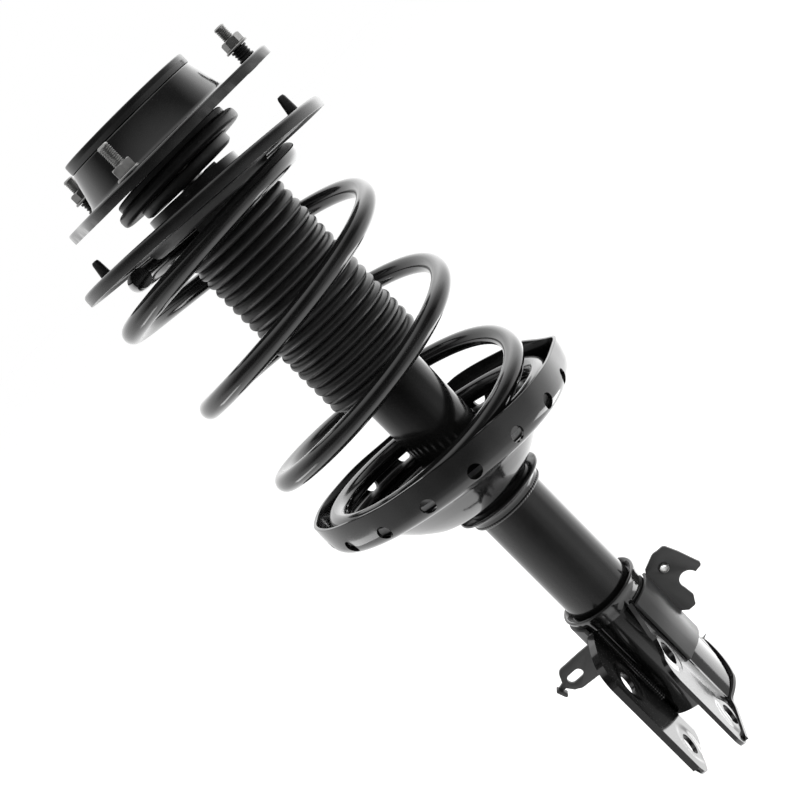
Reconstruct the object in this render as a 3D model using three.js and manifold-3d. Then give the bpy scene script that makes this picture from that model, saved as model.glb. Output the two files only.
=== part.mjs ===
// Front suspension strut assembly with coil spring, top mount and knuckle bracket.
// Millimetres, +Z up. The damper axis is Z, and the origin is where it meets the top
// mount's flange face. +X is the outboard side that carries the hose bracket, and the
// knuckle ears reach out towards -Y.
import * as THREE from 'three';
import * as BufferGeometryUtils from 'three/addons/utils/BufferGeometryUtils.js';
import Module from 'manifold-3d';

// ---------------------------------------------------------------- driving dimensions
const GAP = 0.3; // clearance between touching pieces
const THROUGH = 400; // reach of a cutter that passes right through

const ROD_R = 10;
const ROD_STUD_R = 6;
const ROD_STUD_TOP = 28;
const ROD_SHOULDER = 2;

const TUBE_R = 25.5;
const TUBE_WALL = 2.5;
const TUBE_TOP = -201;
const TUBE_BOTTOM = -525;
const CYLINDER_R = 17.5;
const CYLINDER_WALL = 1.5;
const PISTON_Z = TUBE_TOP - 52.4; // the rebound stop then rests under the rod guide
const BUMP_STOP_TOP = -30.5;

const FLANGE_THICK = 3;
const FLANGE_RIM = 7;
const FLANGE_LOBE_R = 97;
const FLANGE_SIDE_R = 75;
const FLANGE_POINTS = 48;
const CUP_TOP = 31.5;
const CUP_LIP = 7;
const CUP_LIP_R = 51.2;
const CUP_BASE_R = 57;
const SHEET = 2.8;
const STUD_CIRCLE_R = 84;
const STUD_R = 4;
const STUD_ANGLES = [-90, 30, 150];
const STUD_TIPS = [23, 27.5, 27.5];
const NUT_SEATS = [0.3, 9.5, 9.5];

const COVER_R = 51;
const COVER_Z = -17.8;
const COVER_SLOPE = [0.032, -0.057];
const RACE_Z = -21.9;
const NECK_R = 35.5;
const CAGE_R = 27;
const BALL_R = 2.6;
const BALL_COUNT = 12;
const RACE_LIP_R = 36.8;
const COVER_BODY_R = 46;

const UPPER_SEAT_R = 98.5;
const UPPER_SEAT_Z = -44.2;
const UPPER_SEAT_SLOPE = [-0.042, -0.081];
const UPPER_SEAT_OFFSET = -3.6;
const UPPER_RIM = 8;
const PEGS = [[85, -8], [78, 196]];

const LOWER_SEAT_R = 100;
const LOWER_SEAT_Z = -259;
const LOWER_SEAT_SLOPE = [-0.093, -0.095];
const LOWER_SEAT_OFFSET = -6;
const LOWER_WALL = 25;
const DRAIN_COUNT = 17;
const DRAIN_R = 5.5;
const COLLAR_Z = -318.5;
const COLLAR_BOTTOM = -327.5;

const WIRE_R = 6.8;
const COIL_R = 85.5;
const PIGTAIL_R = 62;
const SEATED_COIL_R = 83;
const COIL_PITCH = 69.3;
const COIL_TURNS = 4.72;
const COIL_TOP_Z = -55;
const COIL_START = -141;
const COIL_OFFSET = -10.5;
const PIGTAIL_OFFSET = -8;
const COIL_SLOPE = 0.015;

const BOOT_R = 39.5;
const BOOT_VALLEY_R = 35.4;
const BOOT_TOP = -62.5;
const BOOT_BOTTOM = -207;
const BOOT_FOLDS = 18;

const BOLT_UPPER_Z = -466.5; // the bracket's own heights count from here
const BOLT_SPACING = 65;
const BOLT_Y = -50;
const BOLT_R = 7.8;
const SLOT_LENGTH = 3.6;
const BRACKET_T = 3.2;
const WRAP_TOP = 44;
const WRAP_BOTTOM = -77;
const WRAP_REAR = -40; // lower edge of the sheet behind the tube
const MOUTH_TOP = 35;
const EAR_GAP = 30;
const EAR_FRONT = -75;
const EAR_TIP = -68;
const EAR_TIP_R = 11;
const EAR_HEAD_R = 14;
const EAR_LIP = 5.5;
const STRAP_T = 2.4;
const HOSE_HOLE = [44, 5, 24];
const CABLE_PLATE_Y = -4;

// The spring, its seats and the tilts of both lean along this horizontal direction.
const LEAN = (16 * Math.PI) / 180;
const LEAN_X = Math.cos(LEAN);
const LEAN_Y = Math.sin(LEAN);

// ---------------------------------------------------------------- helpers
const wasm = await Module();
wasm.setup();

const part = new THREE.Group();

const radians = (degrees) => (degrees * Math.PI) / 180;

function paint(color, roughness, metalness) {
  return new THREE.MeshStandardMaterial({ color, roughness, metalness });
}

const BLACK_PAINT = () => paint(0x141414, 0.3, 0.2);
const RUBBER = () => paint(0x1c1c1c, 0.85, 0);
const ZINC = () => paint(0xb4b6ba, 0.35, 0.9);
const STEEL = () => paint(0x8a8c90, 0.35, 0.9);

function signedVolume(geometry) {
  const at = geometry.attributes.position;
  const index = geometry.index;
  const a = new THREE.Vector3();
  const b = new THREE.Vector3();
  const c = new THREE.Vector3();
  let total = 0;
  for (let i = 0; i < index.count; i += 3) {
    a.fromBufferAttribute(at, index.getX(i));
    b.fromBufferAttribute(at, index.getX(i + 1));
    c.fromBufferAttribute(at, index.getX(i + 2));
    total += a.dot(b.cross(c)) / 6;
  }
  return total;
}

// Merges shared vertices, drops slivers of no area and turns the faces outward.
function closed(geometry) {
  geometry.deleteAttribute('normal');
  geometry.deleteAttribute('uv');
  const merged = BufferGeometryUtils.mergeVertices(geometry, 1e-4);
  const kept = [];
  for (let i = 0; i < merged.index.count; i += 3) {
    const corners = [0, 1, 2].map((j) => merged.index.getX(i + j));
    if (new Set(corners).size === 3) kept.push(...corners);
  }
  merged.setIndex(kept);
  if (signedVolume(merged) < 0) merged.setIndex(kept.reverse());
  return merged;
}

function solid(geometry) {
  const merged = closed(geometry);
  return new wasm.Manifold(new wasm.Mesh({
    numProp: 3,
    vertProperties: new Float32Array(merged.attributes.position.array),
    triVerts: new Uint32Array(merged.index.array),
  }));
}

function shapeOf(manifold) {
  const mesh = manifold.getMesh();
  const geometry = new THREE.BufferGeometry();
  geometry.setAttribute('position', new THREE.BufferAttribute(mesh.vertProperties, 3));
  geometry.setIndex(new THREE.BufferAttribute(mesh.triVerts, 1));
  return geometry;
}

function add(name, shape, material, parent = part) {
  const geometry = shape.isBufferGeometry ? closed(shape) : shapeOf(shape);
  const mesh = new THREE.Mesh(geometry, material);
  mesh.name = name;
  parent.add(mesh);
  return mesh;
}

// A body turned round Z from [radius, height] pairs that start and end on the axis.
function spun(profile, sides = 28) {
  const points = profile.map(([r, z]) => new THREE.Vector2(r, z));
  return new THREE.LatheGeometry(points, sides).rotateX(Math.PI / 2);
}

// The same for a profile that stays clear of the axis and closes on itself.
function turned(profile, sides = 28) {
  return spun([...profile, profile[0]], sides);
}

function ring(inner, outer, low, high, sides = 28) {
  return turned([[inner, low], [outer, low], [outer, high], [inner, high]], sides);
}

function disc(radius, low, high, sides = 28) {
  return spun([[0, low], [radius, low], [radius, high], [0, high]], sides);
}

function outline(points) {
  return new THREE.Shape(points.map(([x, y]) => new THREE.Vector2(x, y)));
}

function slab(shape, low, high, curveSegments = 12) {
  const depth = high - low;
  const geometry = new THREE.ExtrudeGeometry(shape, { depth, bevelEnabled: false, curveSegments });
  return geometry.translate(0, 0, low);
}

// Points of an arc round (cx, cy), from one angle to another in degrees.
function arc(cx, cy, radius, from, to, steps) {
  const points = [];
  for (let i = 0; i <= steps; i += 1) {
    const angle = radians(from + ((to - from) * i) / steps);
    points.push([cx + radius * Math.cos(angle), cy + radius * Math.sin(angle)]);
  }
  return points;
}

// A group whose own Z stands square to the plane z = height + slope . (x, y), placed
// at a distance along the lean direction.
function leaning(height, slope, offset) {
  const group = new THREE.Group();
  const normal = new THREE.Vector3(-slope[0], -slope[1], 1).normalize();
  group.quaternion.setFromUnitVectors(new THREE.Vector3(0, 0, 1), normal);
  const x = offset * LEAN_X;
  const y = offset * LEAN_Y;
  group.position.set(x, y, height + slope[0] * x + slope[1] * y);
  group.updateMatrix();
  part.add(group);
  return group;
}

// Cuts or joins a piece made upright, inside a leaning group.
function carried(geometry, group) {
  return geometry.applyMatrix4(group.matrix.clone().invert());
}

// A flat plate in the XZ plane, with its faces at y = low and y = high.
function plateXZ(shape, low, high) {
  return slab(shape, 0, high - low).rotateX(Math.PI / 2).translate(0, high, 0);
}

// A flat plate in the YZ plane, with its faces at x = low and x = high.
function plateYZ(shape, low, high) {
  const turn = new THREE.Matrix4().makeBasis(
    new THREE.Vector3(0, 1, 0),
    new THREE.Vector3(0, 0, 1),
    new THREE.Vector3(1, 0, 0),
  );
  return slab(shape, low, high).applyMatrix4(turn);
}

// ---------------------------------------------------------------- top mount
// A rounded triangle: its edge swings evenly between the lobe and side radii, with a
// lobe at each stud.
function flangeOutline(inset) {
  const middle = (FLANGE_LOBE_R + FLANGE_SIDE_R) / 2 - inset;
  const swing = (FLANGE_LOBE_R - FLANGE_SIDE_R) / 2;
  const points = [];
  for (let i = 0; i < FLANGE_POINTS; i += 1) {
    const angle = (2 * Math.PI * i) / FLANGE_POINTS;
    const r = middle + swing * Math.cos(3 * (angle - radians(STUD_ANGLES[0])));
    points.push([r * Math.cos(angle), r * Math.sin(angle)]);
  }
  return outline(points);
}

function mountShell() {
  const shoulder = CUP_TOP - CUP_LIP;
  const wall = solid(turned([
    [CUP_BASE_R + 3, 0], [CUP_BASE_R, 2.5], [CUP_LIP_R - 0.8, shoulder - 1],
    [CUP_LIP_R - 6, shoulder], [CUP_LIP_R - 6, shoulder - SHEET],
    [CUP_LIP_R - 3.6, shoulder - 1 - SHEET], [CUP_BASE_R - SHEET, 0.8],
    [CUP_BASE_R - SHEET, -FLANGE_THICK], [CUP_BASE_R + 3, -FLANGE_THICK],
  ], 36));
  const plate = solid(slab(flangeOutline(0), -FLANGE_THICK, 0));
  const rim = solid(slab(flangeOutline(0), -FLANGE_RIM, -FLANGE_THICK + 0.5))
    .subtract(solid(slab(flangeOutline(SHEET), -FLANGE_RIM - 1, 0)));
  const bore = solid(disc(CUP_BASE_R - SHEET, -20, 1, 36));
  let shell = plate.subtract(bore).add(rim).add(wall);
  STUD_ANGLES.forEach((angle) => {
    const hole = disc(STUD_R + GAP, -20, 5, 16);
    hole.translate(STUD_CIRCLE_R * Math.cos(radians(angle)), STUD_CIRCLE_R * Math.sin(radians(angle)), 0);
    shell = shell.subtract(solid(hole));
  });
  return shell;
}

function studBolt(tip) {
  const head = FLANGE_THICK + GAP;
  return spun([
    [0, -head - 4], [7, -head - 4], [7, -head], [STUD_R, -head],
    [STUD_R, tip - 1], [STUD_R - 1, tip], [0, tip],
  ], 16);
}

function flangeNut() {
  const flange = solid(ring(STUD_R + GAP, 8.6, 0, 1.6, 16));
  const hexagon = outline(arc(0, 0, 7.5, 0, 300, 5));
  const body = solid(slab(hexagon, 1, 8)).subtract(solid(disc(STUD_R + GAP, -1, 10, 16)));
  return flange.add(body);
}

function studs() {
  STUD_ANGLES.forEach((angle, i) => {
    const place = new THREE.Group();
    const x = STUD_CIRCLE_R * Math.cos(radians(angle));
    const y = STUD_CIRCLE_R * Math.sin(radians(angle));
    place.position.set(x, y, 0);
    part.add(place);
    add(`mount_stud_${i + 1}`, studBolt(STUD_TIPS[i]), ZINC(), place);
    add(`stud_nut_${i + 1}`, flangeNut(), ZINC(), place).position.z = NUT_SEATS[i];
    if (NUT_SEATS[i] > 1) {
      add(`stud_collar_${i + 1}`, ring(STUD_R + GAP, 6, GAP, NUT_SEATS[i] - GAP, 20), RUBBER(), place);
    }
  });
}

function topMount() {
  add('mount_shell', mountShell(), BLACK_PAINT());
  const low = CUP_TOP - CUP_LIP + GAP;
  add('mount_rubber', turned([
    [CUP_LIP_R - 1, low], [CUP_LIP_R, low + 0.7], [CUP_LIP_R, CUP_TOP - 1], [CUP_LIP_R - 1, CUP_TOP],
    [CUP_LIP_R - 7, CUP_TOP], [CUP_LIP_R - 10, CUP_TOP - 6], [32, 19], [20.3, 22], [20.3, 6], [34, 6],
    [CUP_LIP_R - 6.4, low - 4], [CUP_LIP_R - 6.4, low],
  ], 36), RUBBER());
  add('mount_sleeve', turned([
    [ROD_STUD_R + GAP, 2.4], [14, 2.4], [20, 6], [20, 23], [16, 23], [16, 9], [14, 7.4],
    [ROD_STUD_R + GAP, 7.4],
  ]), STEEL());
  add('rod_washer', ring(ROD_STUD_R + GAP, 13.5, 7.7, 11), ZINC());
  const hexagon = outline(arc(0, 0, 11, 0, 300, 5));
  const nut = solid(slab(hexagon, 11.3, 24)).subtract(solid(disc(ROD_STUD_R + GAP, 0, 30, 24)));
  add('rod_nut', nut, ZINC());
  studs();
}

// ---------------------------------------------------------------- bearing
function bearing() {
  const cover = leaning(COVER_Z, COVER_SLOPE, 0);
  const dish = solid(turned([
    [38.5, -4.2], [COVER_R - 1, -4.2], [COVER_R, -3], [COVER_R, 2], [COVER_R - 2, 4],
    [COVER_BODY_R, 4], [COVER_BODY_R, 8], [COVER_BODY_R - 1.5, 9], [30, 9], [30, 1], [38.5, 1],
  ], 36));
  const race = solid(carried(ring(15, 32, RACE_Z + 2.9, RACE_Z + 8, 36), cover));
  add('bearing_cover', dish.add(race), RUBBER(), cover);

  let cage = solid(ring(CAGE_R - 3.4, CAGE_R + 3.4, RACE_Z - 1, RACE_Z + 1));
  for (let i = 0; i < BALL_COUNT; i += 1) {
    const ball = new THREE.SphereGeometry(BALL_R, 8, 4);
    const angle = (2 * Math.PI * i) / BALL_COUNT;
    ball.translate(CAGE_R * Math.cos(angle), CAGE_R * Math.sin(angle), RACE_Z);
    cage = cage.add(solid(ball));
  }
  add('ball_cage', cage, STEEL());
  const lip = RACE_Z + 1.7; // its outer lip hides the balls
  add('bearing_lower_race', turned([
    [15, RACE_Z - 6.7], [34, RACE_Z - 6.7], [RACE_LIP_R, RACE_Z - 5], [RACE_LIP_R, lip],
    [RACE_LIP_R - 2.3, lip], [RACE_LIP_R - 2.3, RACE_Z - 2.9], [15, RACE_Z - 2.9],
  ], 36), BLACK_PAINT());
}

// ---------------------------------------------------------------- upper spring seat
function upperSeat() {
  const seat = leaning(UPPER_SEAT_Z, UPPER_SEAT_SLOPE, UPPER_SEAT_OFFSET);
  const top = UPPER_RIM / 2;
  let pan = solid(turned([
    [NECK_R - SHEET, -3], [NECK_R + 4, -3], [56, top - SHEET - 1], [66, top - SHEET],
    [UPPER_SEAT_R - 4.5, top - SHEET], [UPPER_SEAT_R - SHEET, top - 4.4],
    [UPPER_SEAT_R - SHEET, -top], [UPPER_SEAT_R, -top], [UPPER_SEAT_R, top - 3],
    [UPPER_SEAT_R - 3, top], [66, top], [56, top - 0.6], [NECK_R + 5, SHEET - 3], [NECK_R, 4],
    [NECK_R, 12], [NECK_R - SHEET, 12],
  ], 44));
  pan = pan.subtract(solid(carried(disc(60, RACE_Z - 7, 10), seat)));
  PEGS.forEach(([r, angle]) => {
    const hole = disc(4.3, -20, 20, 16).translate(r, 0, 0).rotateZ(radians(angle));
    pan = pan.subtract(solid(hole));
  });
  add('upper_spring_seat', pan, BLACK_PAINT(), seat);

  let pad = solid(turned([
    [NECK_R + 2, -9.6], [45, -9.6], [48.3, -6], [49.2, -3.1], [74, -3.1], [90, -1.6],
    [90, top - SHEET - GAP],
    [66, top - SHEET - GAP], [56, top - SHEET - 1 - GAP], [NECK_R + 4, -3 - GAP], [NECK_R + 2, -3.3],
  ], 36));
  PEGS.forEach(([r, angle]) => {
    const peg = spun([[0, -2], [3.9, -2], [3.9, top + 1], [2.6, top + 13], [0, top + 13.6]], 16);
    peg.translate(r, 0, 0).rotateZ(radians(angle));
    pad = pad.add(solid(peg));
  });
  add('upper_insulator', pad, RUBBER(), seat);
}

// ---------------------------------------------------------------- dust boot and bump stop
function dustBoot() {
  const wall = 1.4;
  const step = (BOOT_TOP - 4 - (BOOT_BOTTOM + 4)) / BOOT_FOLDS;
  const profile = [[NECK_R - 4, BOOT_TOP], [NECK_R, BOOT_TOP]];
  for (let i = 0; i < BOOT_FOLDS; i += 1) {
    const z = BOOT_TOP - 4 - i * step;
    profile.push([BOOT_VALLEY_R, z], [BOOT_R, z - step / 2]);
  }
  profile.push([BOOT_VALLEY_R, BOOT_BOTTOM + 4], [BOOT_VALLEY_R, BOOT_BOTTOM]);
  profile.push([BOOT_VALLEY_R - wall, BOOT_BOTTOM], [BOOT_VALLEY_R - wall, BOOT_TOP - 6]);
  profile.push([NECK_R - 4, BOOT_TOP - 4]);
  return turned(profile, 16);
}

function bootAndStop() {
  add('dust_boot', dustBoot(), RUBBER());
  const foam = [
    [ROD_R + GAP, 0], [19, 0], [20, -27], [24, -32], [24, -45], [20.5, -49], [23, -55], [23, -63],
    [18.5, -67], [17, -76], [ROD_R + 3, -80], [ROD_R + GAP, -80],
  ];
  add('bump_stop', turned(foam, 24).translate(0, 0, BUMP_STOP_TOP), paint(0x26262a, 0.9, 0));
}

// ---------------------------------------------------------------- coil spring
const ease = (t) => {
  const x = Math.min(1, Math.max(0, t));
  return x * x * (3 - 2 * x);
};

// Height lost by the wire's centre over each turn: flat end coils, an even pitch between.
function coilDrop(turn) {
  const opening = 0.05 + 0.95 * ease((turn - 0.6) / 0.47);
  const closing = 1 - 0.94 * ease((turn - 3.45) / 0.75);
  return COIL_PITCH * opening * closing;
}

// Centre line of the wire: a small flat pigtail at the top, even turns, and a last turn
// that lies in the lower seat. The end turns lean as their seats do.
function coilPoints(steps) {
  const points = [];
  let height = COIL_TOP_Z;
  for (let i = 0; i <= steps; i += 1) {
    const turn = (COIL_TURNS * i) / steps;
    const angle = radians(COIL_START - 360 * turn);
    const open = ease((turn - 0.45) / 0.6);
    const atTop = 1 - ease((turn - 0.3) / 0.8);
    const atBottom = ease((turn - 3.5) / 0.7);
    const radius = PIGTAIL_R + (COIL_R - PIGTAIL_R) * open + (SEATED_COIL_R - COIL_R) * atBottom;
    const offset = PIGTAIL_OFFSET + (COIL_OFFSET - PIGTAIL_OFFSET) * open
      + (LOWER_SEAT_OFFSET - COIL_OFFSET) * atBottom;
    const x = offset * LEAN_X + radius * Math.cos(angle);
    const y = offset * LEAN_Y + radius * Math.sin(angle);
    const tilt = (UPPER_SEAT_SLOPE[0] * x + UPPER_SEAT_SLOPE[1] * y) * atTop
      + (LOWER_SEAT_SLOPE[0] * x + LOWER_SEAT_SLOPE[1] * y) * atBottom
      - COIL_SLOPE * radius * Math.cos(angle - LEAN) * (1 - atTop - atBottom);
    points.push(new THREE.Vector3(x, y, height + tilt));
    height -= (coilDrop(turn) * COIL_TURNS) / steps;
  }
  return points;
}

function coilSpring() {
  const path = new THREE.CatmullRomCurve3(coilPoints(90));
  const section = outline(arc(0, 0, WIRE_R, 0, 315, 7));
  const settings = { steps: 104, bevelEnabled: false, extrudePath: path };
  add('coil_spring', new THREE.ExtrudeGeometry(section, settings), BLACK_PAINT());
}

// ---------------------------------------------------------------- lower spring seat
function lowerSeat() {
  const seat = leaning(LOWER_SEAT_Z, LOWER_SEAT_SLOPE, LOWER_SEAT_OFFSET);
  const r = LOWER_SEAT_R;
  const floor = -LOWER_WALL;
  let pan = solid(turned([
    [r - 2.6, 0], [r, 0], [r - 2, floor + 6], [r - 7, floor], [76, floor - 1.5], [68, floor - 4],
    [56, floor - 16], [42, floor - 27], [34, floor - 31], [34, floor - 28], [41, floor - 24.4],
    [54.4, floor - 13.6], [66, floor - 2], [75, floor + 1.2], [r - 9, floor + 2.6],
    [r - 4.6, floor + 7],
  ], 36));
  for (let i = 0; i < DRAIN_COUNT; i += 1) {
    const angle = LEAN - Math.PI / 2 + radians(3 + (360 * i) / DRAIN_COUNT);
    const hole = disc(DRAIN_R, -20, 20, 6).rotateY(Math.PI / 2);
    hole.translate(r, 0, floor + 8).rotateZ(angle);
    pan = pan.subtract(solid(hole));
  }
  pan = pan.add(solid(ring(31, 36, floor - 31, floor - 28, 36)));
  pan = pan.subtract(solid(carried(disc(28.9, -THROUGH, -200, 28), seat)));
  pan = pan.subtract(solid(carried(disc(60, COLLAR_Z - 20, COLLAR_Z + GAP), seat)));
  add('lower_spring_seat', pan, BLACK_PAINT(), seat);
  add('lower_seat_pad', ring(76.5, r - 10, floor + 3.1, floor + 4.7, 36), RUBBER(), seat);

  add('seat_support_collar', turned([
    [TUBE_R + GAP, COLLAR_Z], [35, COLLAR_Z], [35, COLLAR_Z - 2.4], [31, COLLAR_Z - 3],
    [28.6, COLLAR_Z - 6], [28.6, COLLAR_BOTTOM], [TUBE_R + GAP, COLLAR_BOTTOM],
  ], 36), BLACK_PAINT());
}

// ---------------------------------------------------------------- damper
function damper() {
  add('piston_rod', spun([
    [0, PISTON_Z - 28], [5.7, PISTON_Z - 28], [5.7, PISTON_Z + 6], [ROD_R, PISTON_Z + 6],
    [ROD_R, ROD_SHOULDER - 1], [ROD_R - 1, ROD_SHOULDER], [ROD_STUD_R, ROD_SHOULDER],
    [ROD_STUD_R, ROD_STUD_TOP - 1], [ROD_STUD_R - 1, ROD_STUD_TOP], [0, ROD_STUD_TOP],
  ], 32), STEEL());
  const bore = CYLINDER_R - CYLINDER_WALL;
  add('rebound_stop', ring(ROD_R + GAP, bore - 2, PISTON_Z + 14, PISTON_Z + 22), RUBBER());
  add('piston', ring(6, bore - 0.4, PISTON_Z - 10, PISTON_Z + 5.7, 28), STEEL());
  const hexagon = outline(arc(0, 0, 9.5, 0, 300, 5));
  const nut = solid(slab(hexagon, PISTON_Z - 22, PISTON_Z - 10.3)).subtract(solid(disc(6, -THROUGH, 0, 24)));
  add('piston_nut', nut, ZINC());

  const inside = TUBE_R - TUBE_WALL;
  add('strut_tube', turned([
    [inside, TUBE_BOTTOM], [TUBE_R, TUBE_BOTTOM], [TUBE_R, TUBE_TOP], [inside, TUBE_TOP],
  ], 36), BLACK_PAINT());
  add('tube_bottom_cap', spun([
    [0, TUBE_BOTTOM + 2], [inside - 6, TUBE_BOTTOM + 2], [inside - GAP, TUBE_BOTTOM + 7],
    [inside - GAP, TUBE_BOTTOM - 1], [inside - 5, TUBE_BOTTOM - 5], [0, TUBE_BOTTOM - 7],
  ], 28), BLACK_PAINT());
  add('tube_end_cap', turned([
    [TUBE_R + GAP, TUBE_TOP - 5], [TUBE_R + 2, TUBE_TOP - 5], [TUBE_R + 2, TUBE_TOP + 2],
    [TUBE_R, TUBE_TOP + 3.5], [ROD_R + 3, TUBE_TOP + 3.5], [ROD_R + 3, TUBE_TOP + 1.2],
    [TUBE_R + GAP, TUBE_TOP + 1.2],
  ], 28), BLACK_PAINT());
  add('rod_guide', turned([
    [ROD_R + GAP, TUBE_TOP - 30], [bore - GAP, TUBE_TOP - 30], [bore - GAP, TUBE_TOP - 20],
    [inside - GAP, TUBE_TOP - 20], [inside - GAP, TUBE_TOP - 8.3], [ROD_R + GAP, TUBE_TOP - 8.3],
  ], 28), STEEL());
  add('rod_seal', turned([
    [ROD_R + GAP, TUBE_TOP - 8], [inside - GAP, TUBE_TOP - 8], [inside - GAP, TUBE_TOP - 1],
    [ROD_R + 4, TUBE_TOP - 1], [ROD_R + GAP, TUBE_TOP - 4],
  ], 28), RUBBER());
  add('pressure_cylinder', ring(bore, CYLINDER_R, TUBE_BOTTOM + 12, TUBE_TOP - 20.3, 28), STEEL());
  add('base_valve', spun([
    [0, TUBE_BOTTOM + 8], [6, TUBE_BOTTOM + 8], [14, TUBE_BOTTOM + 9], [CYLINDER_R, TUBE_BOTTOM + 10],
    [CYLINDER_R, TUBE_BOTTOM + 11.7], [bore - GAP, TUBE_BOTTOM + 11.7], [bore - GAP, TUBE_BOTTOM + 24],
    [0, TUBE_BOTTOM + 24],
  ], 32), STEEL());
}

// ---------------------------------------------------------------- knuckle bracket
// Heights here are above the upper bolt hole.
// Side view of one ear, as [y, z]: it leaves the collar at the top, runs down its front
// edge to a rounded tip and comes back along the bottom edge. The inset moves the bottom
// edge only, which is the one that is turned out. The outboard ear is cut back to a slope
// above the upper bolt, and the inboard one stands as high as the wrap.
function earOutline(side, inset) {
  const head = side > 0
    ? [[-27, 34], [-34, 25], [-48, 11], ...arc(EAR_FRONT + EAR_HEAD_R, -9, EAR_HEAD_R, 110, 175, 4)]
    : [[-45, 34], [-64, 31], [-72, 25], [EAR_FRONT, 16]];
  return outline([
    [-8, 34], ...head,
    ...arc(EAR_FRONT + EAR_TIP_R, EAR_TIP, EAR_TIP_R - inset, 185, 262, 5),
    [-30, EAR_TIP - 9 + inset], [-8, EAR_TIP + inset],
  ]);
}

// The sheet's lower edge rises from the ears to the back of the tube. Its flange follows
// that edge round both sides.
function footEdge(rise) {
  return [[-31, EAR_TIP - 9.4 + rise], [-8, EAR_TIP + rise], [12, WRAP_REAR + rise]];
}

function knuckleBracket() {
  const inner = TUBE_R + GAP;
  const outer = inner + BRACKET_T;
  const half = EAR_GAP / 2;
  const deep = BRACKET_T + EAR_LIP;
  const below = outline([...footEdge(0), [60, WRAP_REAR], [60, -120], [-31, -120]]);
  const band = outline([...footEdge(0), [14, WRAP_REAR], [14, WRAP_REAR + 4], ...footEdge(4).reverse()]);
  const flange = solid(ring(inner, outer + EAR_LIP, WRAP_BOTTOM - 5, 0, 36))
    .intersect(solid(plateYZ(band, -60, 60)));
  let bracket = solid(turned([
    [inner, WRAP_BOTTOM], [outer, WRAP_BOTTOM], [outer, WRAP_TOP - 8], [outer + 2, WRAP_TOP - 2],
    [outer + 1.2, WRAP_TOP], [inner + 1, WRAP_TOP - 2], [inner, WRAP_TOP - 7],
  ], 36));
  const lipRegion = solid(new THREE.BoxGeometry(80, 62, 40).translate(0, -45, EAR_TIP - 16));
  [-1, 1].forEach((side) => {
    const near = side > 0 ? half : -half - BRACKET_T;
    const out = side > 0 ? half : -half - deep;
    const ear = solid(plateYZ(earOutline(side, 0), near, near + BRACKET_T));
    const lip = solid(plateYZ(earOutline(side, 0), out, out + deep))
      .subtract(solid(plateYZ(earOutline(side, BRACKET_T), out - 1, out + deep + 1)));
    bracket = bracket.add(ear).add(lip.intersect(lipRegion));
  });
  const mouth = new THREE.BoxGeometry(EAR_GAP, 60, 200).translate(0, -42, MOUTH_TOP - 100);
  const lowerHole = disc(BOLT_R, -60, 60, 20).rotateY(Math.PI / 2).translate(0, BOLT_Y, -BOLT_SPACING);
  const slot = outline([
    ...arc(BOLT_Y, 0, BOLT_R, -90, 90, 8),
    ...arc(BOLT_Y - SLOT_LENGTH, 0, BOLT_R, 90, 270, 8),
  ]);
  return bracket
    .subtract(solid(plateYZ(below, -60, 60)))
    .add(flange)
    .subtract(solid(mouth))
    .subtract(solid(disc(inner, -200, 200, 36)))
    .subtract(solid(lowerHole))
    .subtract(solid(plateYZ(slot, -60, 60)));
}

// A strap that hugs one side of the wrap, with its front edge folded in to the ear.
function sideStrap(side, low, high) {
  const inner = TUBE_R + 3 * GAP + BRACKET_T;
  const outer = inner + STRAP_T;
  const fold = EAR_GAP / 2 + BRACKET_T + GAP;
  const points = [
    ...arc(0, 0, outer, -38, 12, 8), ...arc(0, 0, inner, 12, -38, 8),
    [fold, -23.6], [fold, -26], [21, -26],
  ];
  return solid(slab(outline(points.map(([x, y]) => [side * x, y])), low, high));
}

function sideBrackets(place) {
  const hosePlate = outline([
    [30.5, 27], [33, 31], [45, 36.5], [52, 37], [56, 34], [59, 27], [65, 12], [64, 8], [59, 6.5],
    [56, 10], ...arc(52, 4.5, 6, 60, 190, 6), [44.5, -2], [45, -7], [42, -11.5], [36, -13],
    [30.5, -9],
  ]);
  const holeSeat = disc(3.9, -5, 5, 16).rotateX(Math.PI / 2).translate(...HOSE_HOLE);
  const hose = sideStrap(1, -27, 30)
    .add(solid(plateXZ(hosePlate, HOSE_HOLE[1], HOSE_HOLE[1] + STRAP_T)))
    .subtract(solid(holeSeat));
  add('hose_bracket', hose, BLACK_PAINT(), place);
  const insert = turned([[2.6, -1.4], [3.6, -1.4], [3.6, 4.5], [5, 4.5], [5, 6], [2.6, 6]], 12);
  insert.rotateX(-Math.PI / 2).translate(...HOSE_HOLE);
  add('hose_bracket_insert', insert, ZINC(), place);

  const cablePlate = outline([
    [-30.5, 17], [-42, 16.5], [-58, 15], [-63.5, 11], [-66, 6], [-72, 4], [-71.5, 1], [-66, 1.5],
    [-62, -4], [-56, -6], [-43, -6], [-30.5, -9],
  ]);
  const cableSlot = outline([...arc(-58, 4.4, 3.7, 90, 270, 6), ...arc(-52, 4.8, 3.7, -90, 90, 6)]);
  const cable = sideStrap(-1, -11, 37)
    .add(solid(plateXZ(cablePlate, CABLE_PLATE_Y, CABLE_PLATE_Y + STRAP_T)))
    .subtract(solid(plateXZ(cableSlot, -20, 20)));
  add('cable_bracket', cable, BLACK_PAINT(), place);
}

function bracketParts() {
  const place = new THREE.Group();
  place.position.z = BOLT_UPPER_Z;
  part.add(place);
  add('knuckle_bracket', knuckleBracket(), BLACK_PAINT(), place);
  sideBrackets(place);
}

// ---------------------------------------------------------------- assembly
topMount();
bearing();
upperSeat();
bootAndStop();
coilSpring();
damper();
lowerSeat();
bracketParts();

export default part;
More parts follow.
